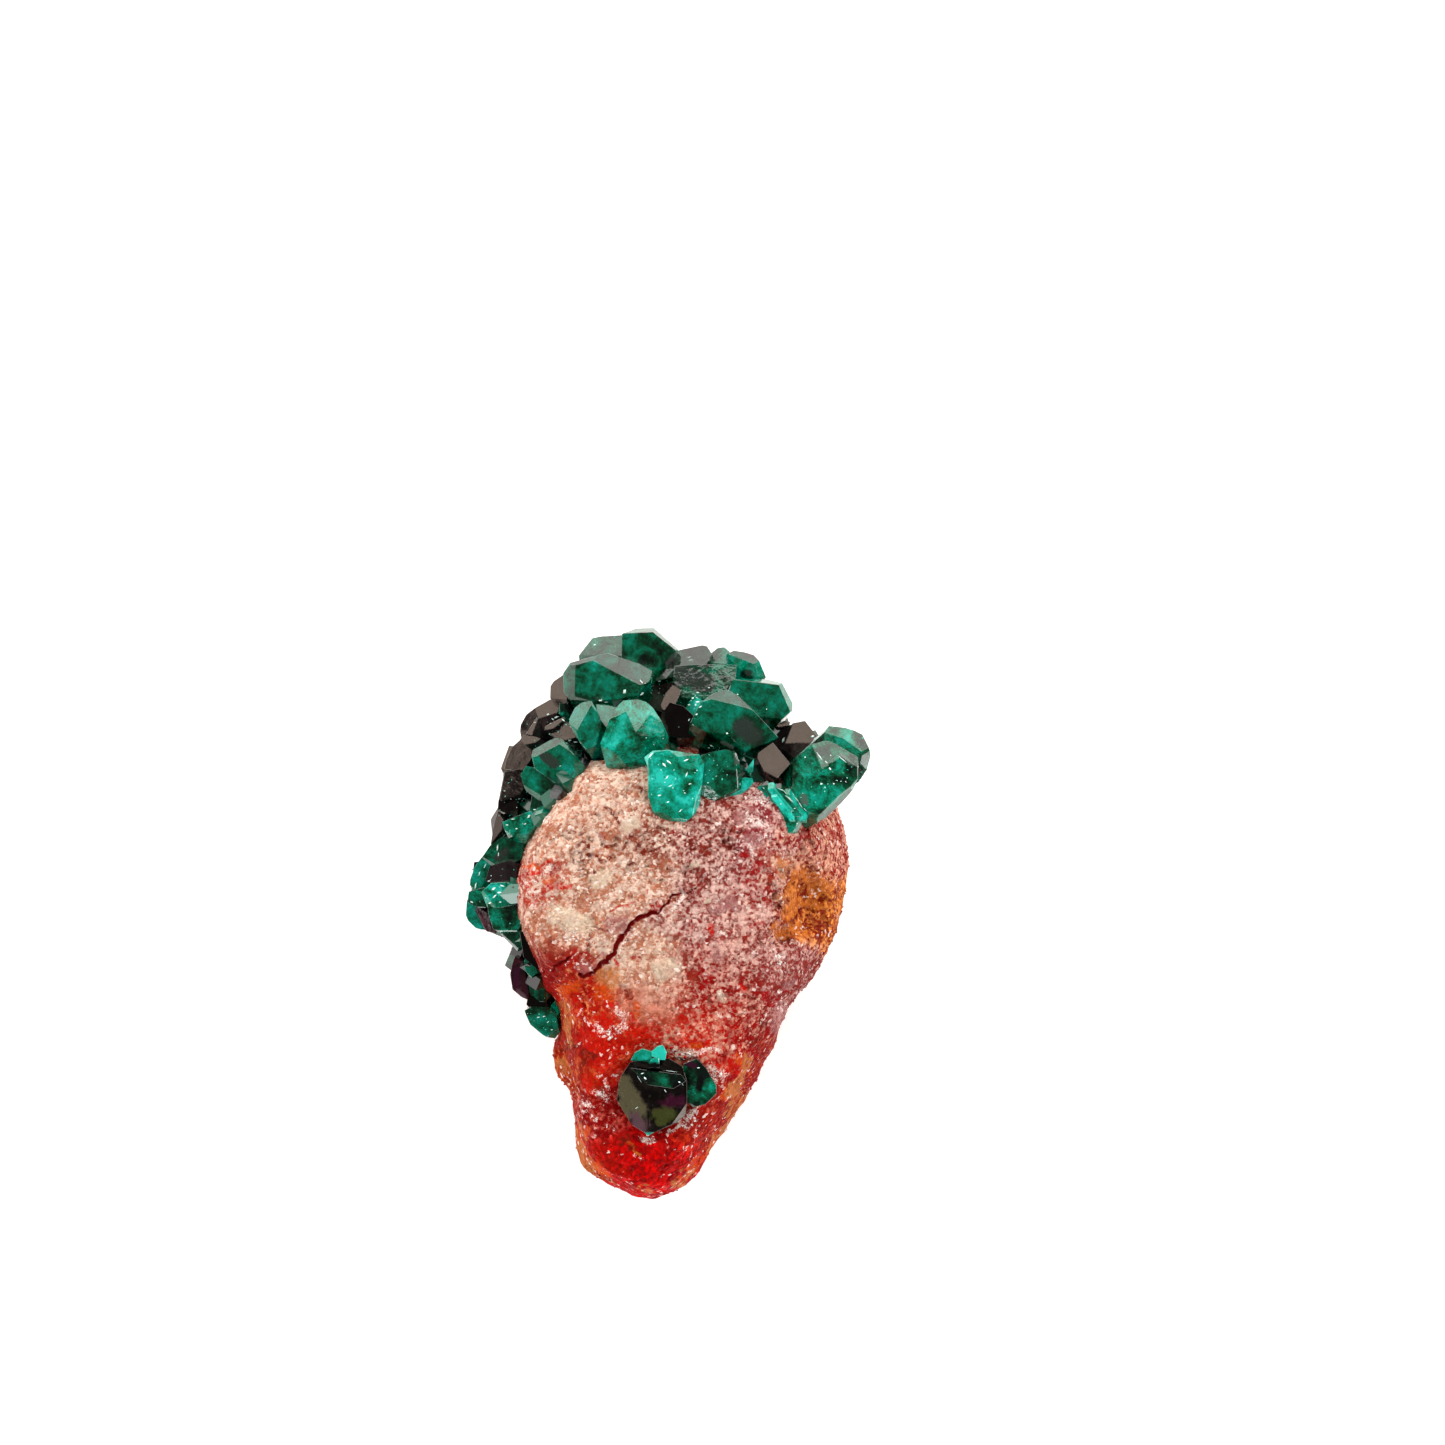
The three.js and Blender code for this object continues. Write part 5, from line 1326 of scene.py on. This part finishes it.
CRYSTAL_PAINT = {  # strokes, read like those of the rock
    # olive grey on the left faces of the front pair: painted reflection, the tint of the grey that these
    # faces mirror
    "#5c5840": """
        .9: -4.4,-18.6 -3.2,-20.6; .5: -4.9,-20.2 -4.2,-21.4; .7: -4.6,-17.6 -4.4,-18.2""",
    # mauve grey on the front pair and the flank: painted reflection, as above
    "#60464e": """
        .7: -3.4,-21.3 -3,-22.6; .4: -15.8,-8.4 -15.2,-8.9""",
    "#40461e": """
        .6: -1.2,-21.1 .2,-21.2; .4: -1,-21.9 -.2,-21.9; .4: -1.2,-20.8 .4,-20.9""",
    # black: painted shade in the slots between the front pair's faces, and the near-black of its darkest
    # faces
    "#000000": """
        .16: -2,-20.4 -2.1,-22.6; .14: -4.5,-20.6 -4,-21.8; .5: -3.6,-15.9 -1,-16.2; .3: -.2,-15.8
        1.4,-15.9;.5: .9,-18.2 1.1,-19; .5: -1.6,-18.9 -.4,-19.4; .3: 1.4,-21 1,-21.9; .35: 3.4,-17.4
        3.2,-18.6""",
    "#3c0826": """
        .7: -.2,-19.7 1.2,-19.5; .3: -15.9,-5.8 -16,-7.6; .3: 2,-15.7 2.8,-15.9""",
    # pale grey green: painted reflection, the grey that these faces mirror
    "#5a7468": """
        .4: 14.2,12.2 14.4,11.6; .25: 18.2,16.6 19.4,15.4; .3: 7.2,16.6 7.3,15.8""",
    "#3c4a42": """
        .5: -13,16.6 -12,15.8; .4: -18,5.8 -16.8,6.6; .9: 7.8,19.6 9,18.6; 1: 1.6,25.2 4,24.2""",
    "#062418": """
        .3: -11,21.9 -11,21.2; .4: 8,25.2 8.6,25""",
    "#4a2e38": """
        .25: 8.2,27.4 9.4,27; .3: -9.6,28.2 -9.4,27.8""",
}


def overlap(a, b):
    """Whether two crystals' boxes meet."""
    lows = [Vector([min(c[k] for c in o.bound_box) for k in range(3)]) for o in (a, b)]
    highs = [Vector([max(c[k] for c in o.bound_box) for k in range(3)]) for o in (a, b)]
    return all(lows[0][k] < highs[1][k] and lows[1][k] < highs[0][k] for k in range(3))


def stopped(crystal, cutters):
    """The crystal with its edges worn, cut back by each of the cutters that it meets."""
    wear = crystal.modifiers.new("worn edges", "BEVEL")
    wear.width = EDGE_WEAR * MM
    wear.segments = 1
    wear.limit_method = "ANGLE"
    wear.angle_limit = math.radians(12)
    for cutter in cutters:
        if overlap(crystal, cutter):
            cut = crystal.modifiers.new("stopped by a neighbour", "BOOLEAN")
            cut.object = cutter
            cut.solver = "MANIFOLD"
    return baked(crystal, crystal.name)


def split_seen_faces(whole):
    """Halves the long edges of faces seen from above, so that they can carry a change of tone."""
    bmesh.ops.triangulate(whole, faces=[f for f in whole.faces if len(f.verts) > 4])
    for _ in range(TONE_ROUNDS):
        whole.normal_update()
        long = [e for e in whole.edges
                if e.calc_length() > TONE_STEP * MM and any(f.normal.z > 0.2 for f in e.link_faces)]
        bmesh.ops.subdivide_edges(whole, edges=long, cuts=1)
        bmesh.ops.triangulate(whole, faces=[f for f in whole.faces if len(f.verts) > 4])


def drop_doubled_faces(whole):
    """A cut can leave two faces back to back, with nothing between them: both go."""
    same_corners = {}
    for polygon in whole.faces:
        same_corners.setdefault(frozenset(polygon.verts), []).append(polygon)
    doubled = [polygon for twins in same_corners.values() if len(twins) > 1 for polygon in twins]
    bmesh.ops.delete(whole, geom=doubled, context="FACES")
    return len(doubled)


def colour_crystals(mesh):
    """Changes the tone at the spots of the list, and paints the strokes."""
    spots = as_seen(points_in_mm(mesh) + np.array(PLAN_CENTRE))
    tones = read_map(mesh, "tone")
    for x, y, reach_mm, change in TONE_SPOTS:
        tones += change * np.exp(-((spots[:, 0] - x) ** 2 + (spots[:, 1] - y) ** 2) / reach_mm ** 2)
    mesh.attributes["tone"].data.foreach_set("value", tones)
    colour, cover = paint(spots, CRYSTAL_PAINT)
    write_maps(mesh, {"paint_colour": colour, "paint": cover})


def grow(name, specs):
    crystals = [crystal_object(f"{name}_{i}", spec) for i, spec in enumerate(specs)]
    cutters = [crystal_object(f"{name}_cut_{i}", spec, AIR) for i, spec in enumerate(specs)]
    bpy.context.view_layer.update()
    whole = bmesh.new()
    tone = whole.verts.layers.float.new("tone")
    for i, crystal in enumerate(crystals):
        mesh = stopped(crystal, cutters[:i])
        first_vertex, first_face = len(whole.verts), len(whole.faces)
        whole.from_mesh(mesh)
        whole.verts.ensure_lookup_table()
        whole.faces.ensure_lookup_table()
        for vertex in whole.verts[first_vertex:]:
            vertex[tone] = crystal["tone"]
        for polygon in whole.faces[first_face:]:
            polygon.material_index = crystal["finish"]
            polygon.smooth = False
    for leftover in crystals + cutters:
        bpy.data.objects.remove(leftover)
    mesh = bpy.data.meshes.new(name)
    split_seen_faces(whole)
    doubled = drop_doubled_faces(whole)
    print(name, doubled, "doubled faces removed,", sum(not e.is_manifold for e in whole.edges),
          "open edges")
    set_down(whole, mesh)
    colour_crystals(mesh)
    piece = new_object(name, mesh)
    for material in (clear, cloudy, dusky, plum):
        mesh.materials.append(material)
    print(name, triangles(mesh), "triangles")
    return piece


crust_crystals = grow("crust_crystals", CROWN + FIBRES + FLANK + SIDES)
pair_crystals = grow("front_pair_crystals", FRONT_PAIR)

# %% [markdown]
# Between the large crystals the rock is lined with a druse of small ones. They are too small and
# too many to cut each from its neighbours, so they are solid dark green rather than clear: a clear
# body that runs into another would tint twice. The scattering tree sets them, upright on the rock.

# %% Druse
DRUSE = {"Per Square mm": 0.55, "Smallest": 1.1, "Largest": 2.4, "Seed": 8}
druse_material, tree = new_material("small dark dioptase")
tone = map_nodes(tree, "tone")["tone"]["Fac"]
green = colour_ramp(tree, tone, {0.0: "#020103", 0.6: "#002417", 1.0: "#00664e"})
shade(tree, {"Base Color": green, "Roughness": 0.12, "IOR": DIOPTASE_IOR})

seed_block = bmesh.new()
bmesh.ops.create_cube(seed_block, size=4.0)
for side in range(6):
    a = math.radians(60 * side)
    slice_off(seed_block, Vector((math.cos(a), math.sin(a), 0)) * 0.5,
              Vector((math.cos(a), math.sin(a), 0)))
for turn in range(3):
    face = heading(120 * turn + 30, math.degrees(RHOMB_LEAN))
    slice_off(seed_block, Vector((0, 0, 0.95)), face)
slice_off(seed_block, Vector((0, 0, -0.6)), Vector((0, 0, -1)))
seed_crystal = new_object("seed_crystal", set_down(seed_block, bpy.data.meshes.new("seed_crystal")))


def one_seed_crystal(tree):
    source = add(tree, "GeometryNodeObjectInfo", {"Object": seed_crystal}, transform_space="ORIGINAL")
    return source.outputs["Geometry"]


druse = scatter("druse", rough_mesh, DRUSE, druse_material, "druse_gate", one_seed_crystal, tilt=0.7)
bpy.data.objects.remove(seed_crystal)

# %% [markdown]
# Broken dioptase is littered with its own chips, and each one flashes where it catches a lamp; the
# palest are coloured near white as well, a painted flash. They gather where crystals are broken, so a
# gate is high near the broken places and almost nothing elsewhere. A chip is a flat splinter, so the
# tree scatters thin boxes.

# %% Chips
CHIPS = {"Per Square mm": 2.0, "Smallest": 0.05, "Largest": 0.24, "Seed": 6}
# mm: longer edges of the crystals are cut in three, so that the gate can follow the breaks
CHIP_SQUARE = 1.2
# x, y and reach of the broken places
BROKEN = numbers("""
    .8,14,3.2 2.6,16,1.6 -1.6,16.4,1.4 6,14,2.4 12.6,11.6,2.2 2.9,21.9,1.5 -17.6,2,2.2 -16,9.4,1.8
    -10.2,18.4,1.4 -12.4,19.8,1.5 -6.9,22.2,.9 15.6,18.2,.8 -13.4,-10.6,1.6 17,15,2 -.8,24,1.2
    -15.8,12,1.8""")
chip_and_flash_material, tree = new_material("splintered dioptase")
tone = map_nodes(tree, "tone")["tone"]["Fac"]
# from 0.82 the ramp runs to near white: chips that draw such a tone carry a painted flash
green = colour_ramp(tree, tone, {0.0: "#001c10", 0.3: "#006a50", 0.6: "#14c8b0", 0.82: "#9fe8dc",
                                 1.0: "#f4fbf8"})
shade(tree, {"Base Color": green, "Roughness": 0.1, "IOR": DIOPTASE_IOR})


def splinter(tree):
    return add(tree, "GeometryNodeMeshCube", {"Size": (1.0, 0.42, 0.16)}).outputs["Mesh"]


chip_ground = crust_crystals.data.copy()
subdivided = bmesh.new()
subdivided.from_mesh(chip_ground)
long_edges = [e for e in subdivided.edges if e.calc_length() > CHIP_SQUARE * MM]
bmesh.ops.subdivide_edges(subdivided, edges=long_edges, cuts=2, use_grid_fill=True)
set_down(subdivided, chip_ground)
chip_gate = np.clip(0.02 + nearness(points_in_mm(chip_ground) + np.array(PLAN_CENTRE), BROKEN), 0, 1)
write_maps(chip_ground, {"chip_gate": chip_gate})
crystal_chips = scatter("crystal_chips", chip_ground, CHIPS, chip_and_flash_material, "chip_gate", splinter, tilt=0.6)

# %% Near-white splinters set down one by one where the largest flashes are: painted highlights
# x, y, length, width and turn
FLASH_SPLINTERS = numbers("""
    -4.55,23.3,.5,.35,60 -2.75,23.05,.7,.45,-20 -2.8,24.35,.55,.12,-60 -7.1,22.35,.4,.25,0
    -6.5,22.2,.5,.2,0 -7.7,28.2,.25,.18,0 -.9,24.4,.4,.2,30 -10.3,18.2,.4,.2,-30 -9.7,18,.5,.25,-20
    -9.6,18.5,.3,.2,40 -10.6,17.9,.3,.15,0 -11.7,20.6,.6,.25,10 -12.6,20.9,.3,.18,0
    -12.1,20.4,.35,.15,-40 -11,20.3,.5,.12,-45 12.1,18.2,.7,.45,60 -.1,14.3,.5,.12,50 .25,13.4,.45,.1,20
    1.95,14.6,.6,.12,65 1.9,16.1,.6,.14,20 -.4,15.6,.6,.2,-50 .1,15.9,.7,.16,-40 -1.8,16.6,.7,.22,50
    -.9,12.4,.4,.16,0 0,11.7,.3,.15,30 1.3,10.8,.5,.1,45 2.3,13.6,.4,.1,0 3.1,22.2,.5,.22,0
    2.9,21.9,.3,.2,60 2.2,21.9,.3,.15,0 3.4,21.7,.4,.12,30 2.6,22.6,.3,.2,0 3,20.9,.3,.15,20
    2.2,20.3,.3,.12,60 14.4,16.4,.18,.16,0 15.9,16.5,1.1,.1,-55 17,15.2,.35,.2,-60 16.1,13.6,.25,.18,0
    19.3,13.2,.3,.1,40 16.6,15.9,.4,.1,-50 18.3,16.2,1.2,.08,-40 15.1,17.9,.7,.12,15 15.4,18.3,.5,.22,60
    15.2,18.6,.3,.2,0 4.6,17.6,.5,.18,-30 4.3,17.4,.3,.1,20 6.2,18.9,.25,.18,0 7.3,23,.2,.15,0
    4.3,23.7,.3,.1,0 3.1,23.2,.4,.12,-10 2.2,26.9,.6,.06,10 2.4,26.6,.5,.06,0 12.6,12.2,.9,.07,-35
    12.9,11.9,.8,.07,-35 12.3,12.7,.7,.06,-30 13.5,12,.8,.06,-50 13.9,11.4,.9,.07,-60 11.9,13,.7,.06,-25
    14.4,10.9,.6,.06,-70 13.1,12.6,.7,.06,-40 -17.9,6.9,.7,.15,80 -17.8,6.2,.5,.12,80
    -18.3,2.6,.5,.25,30 -17.4,2.9,.5,.18,-20 -17.7,2.2,.5,.2,0 -18.2,1.8,.6,.18,40 -16.9,1.9,.3,.18,0
    -17,2.6,.3,.15,60 -18.7,1.1,.4,.16,20 -17.6,1.2,.3,.15,0 -17.2,8.2,.4,.25,0 -16.9,9.3,.3,.12,0
    -15.9,8.9,.25,.12,0 -15.2,10.5,.4,.15,60 -14.6,10.2,.5,.22,50 -14,10.9,.3,.12,0 -15,9.4,.3,.12,30
    -16.3,9.9,.3,.1,0 -19.8,4.2,.5,.1,70 -20.2,2.9,.8,.16,75 -18.8,3.4,.3,.1,0 -19.2,5,.6,.1,60
    -13,-10.8,.3,.12,0 -12.6,-11.4,.3,.1,40 -13.6,-10.9,.3,.12,0 -12.2,-12.2,.25,.1,0
    -20.6,1.2,.4,.15,-30 -3,-17.4,.9,.07,-60 -2.4,-17.3,.4,.18,-50 -.3,-18.6,.4,.14,-60
    1.2,-17.7,.3,.14,-30 1.5,-17.9,.5,.06,-60 -2.7,-16.8,.4,.08,10 -3.3,-20.4,.4,.06,40
    3.2,-16.2,.3,.1,0 .3,-16.55,1.6,.05,-6""")
# its four corners, in half lengths and half widths
SPLINTER_RIM = ((1, 0), (0.25, 1), (-1, 0.2), (-0.3, -1))
ground = bmesh.new()
for piece in (crust_crystals, pair_crystals):
    ground.from_mesh(piece.data)
tree_of_faces = BVHTree.FromBMesh(ground)
ground.free()
lens = (Vector((*LENS_FOOT, LENS_HEIGHT)) - PLAN_CENTRE) * MM
shards = bmesh.new()
for x, y, length, width, turn in FLASH_SPLINTERS:
    mark = (Vector((x, y, MARK_LEVEL)) - PLAN_CENTRE) * MM
    hit, normal, _, _ = tree_of_faces.ray_cast(lens, (mark - lens).normalized())
    if hit is None:
        continue
    a = math.radians(turn)
    along = Vector((math.cos(a), math.sin(a), 0))
    along = (along - normal * along.dot(normal)).normalized()
    across = normal.cross(along)
    ring = []
    for u, v in SPLINTER_RIM:
        out = along * u * length / 2 + across * v * width / 2
        ring.append(shards.verts.new(hit + out * MM + normal * 0.01 * MM))
    top = shards.verts.new(hit + normal * (0.03 + 0.2 * width) * MM)
    foot = shards.verts.new(hit - normal * 0.05 * MM)
    for a_corner, b_corner in zip(ring, ring[1:] + ring[:1]):
        shards.faces.new((a_corner, b_corner, top))
        shards.faces.new((b_corner, a_corner, foot))
bmesh.ops.recalc_face_normals(shards, faces=shards.faces)
splinter_mesh = set_down(shards, bpy.data.meshes.new("crystal_splinters"))
# a tone near the top of the ramp, so they are near white: painted flashes
write_maps(splinter_mesh, {"tone": np.full(len(splinter_mesh.vertices), 0.93)})
crystal_splinters = new_object("crystal_splinters", splinter_mesh, chip_and_flash_material)
print("crystal_splinters", triangles(splinter_mesh), "triangles")

# %% Put every piece on its body
for piece, node in ((matrix_rock, "matrix"), (crust_crystals, "crystal_crust"),
                    (pair_crystals, "front_crystal_pair")):
    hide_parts(node)
for piece, slot in ((matrix_rock, "matrix_rock"), (crust_crystals, "dioptase"),
                    (pair_crystals, "dioptase")):
    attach(piece, "root")
for piece, slot in ((sugar_grains, "matrix_rock"), (white_crumbs, "matrix_rock"), (druse, "dioptase"),
                    (crystal_chips, "dioptase"), (crystal_splinters, "dioptase")):
    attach(piece, "root")

# %% Compare the sizes
boxes = {"cad": [list(corner) for corner in cad_box], "visual": [list(corner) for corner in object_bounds()]}
for label, corners in boxes.items():
    print(label, [[round(v / MM, 2) for v in corner] for corner in corners])
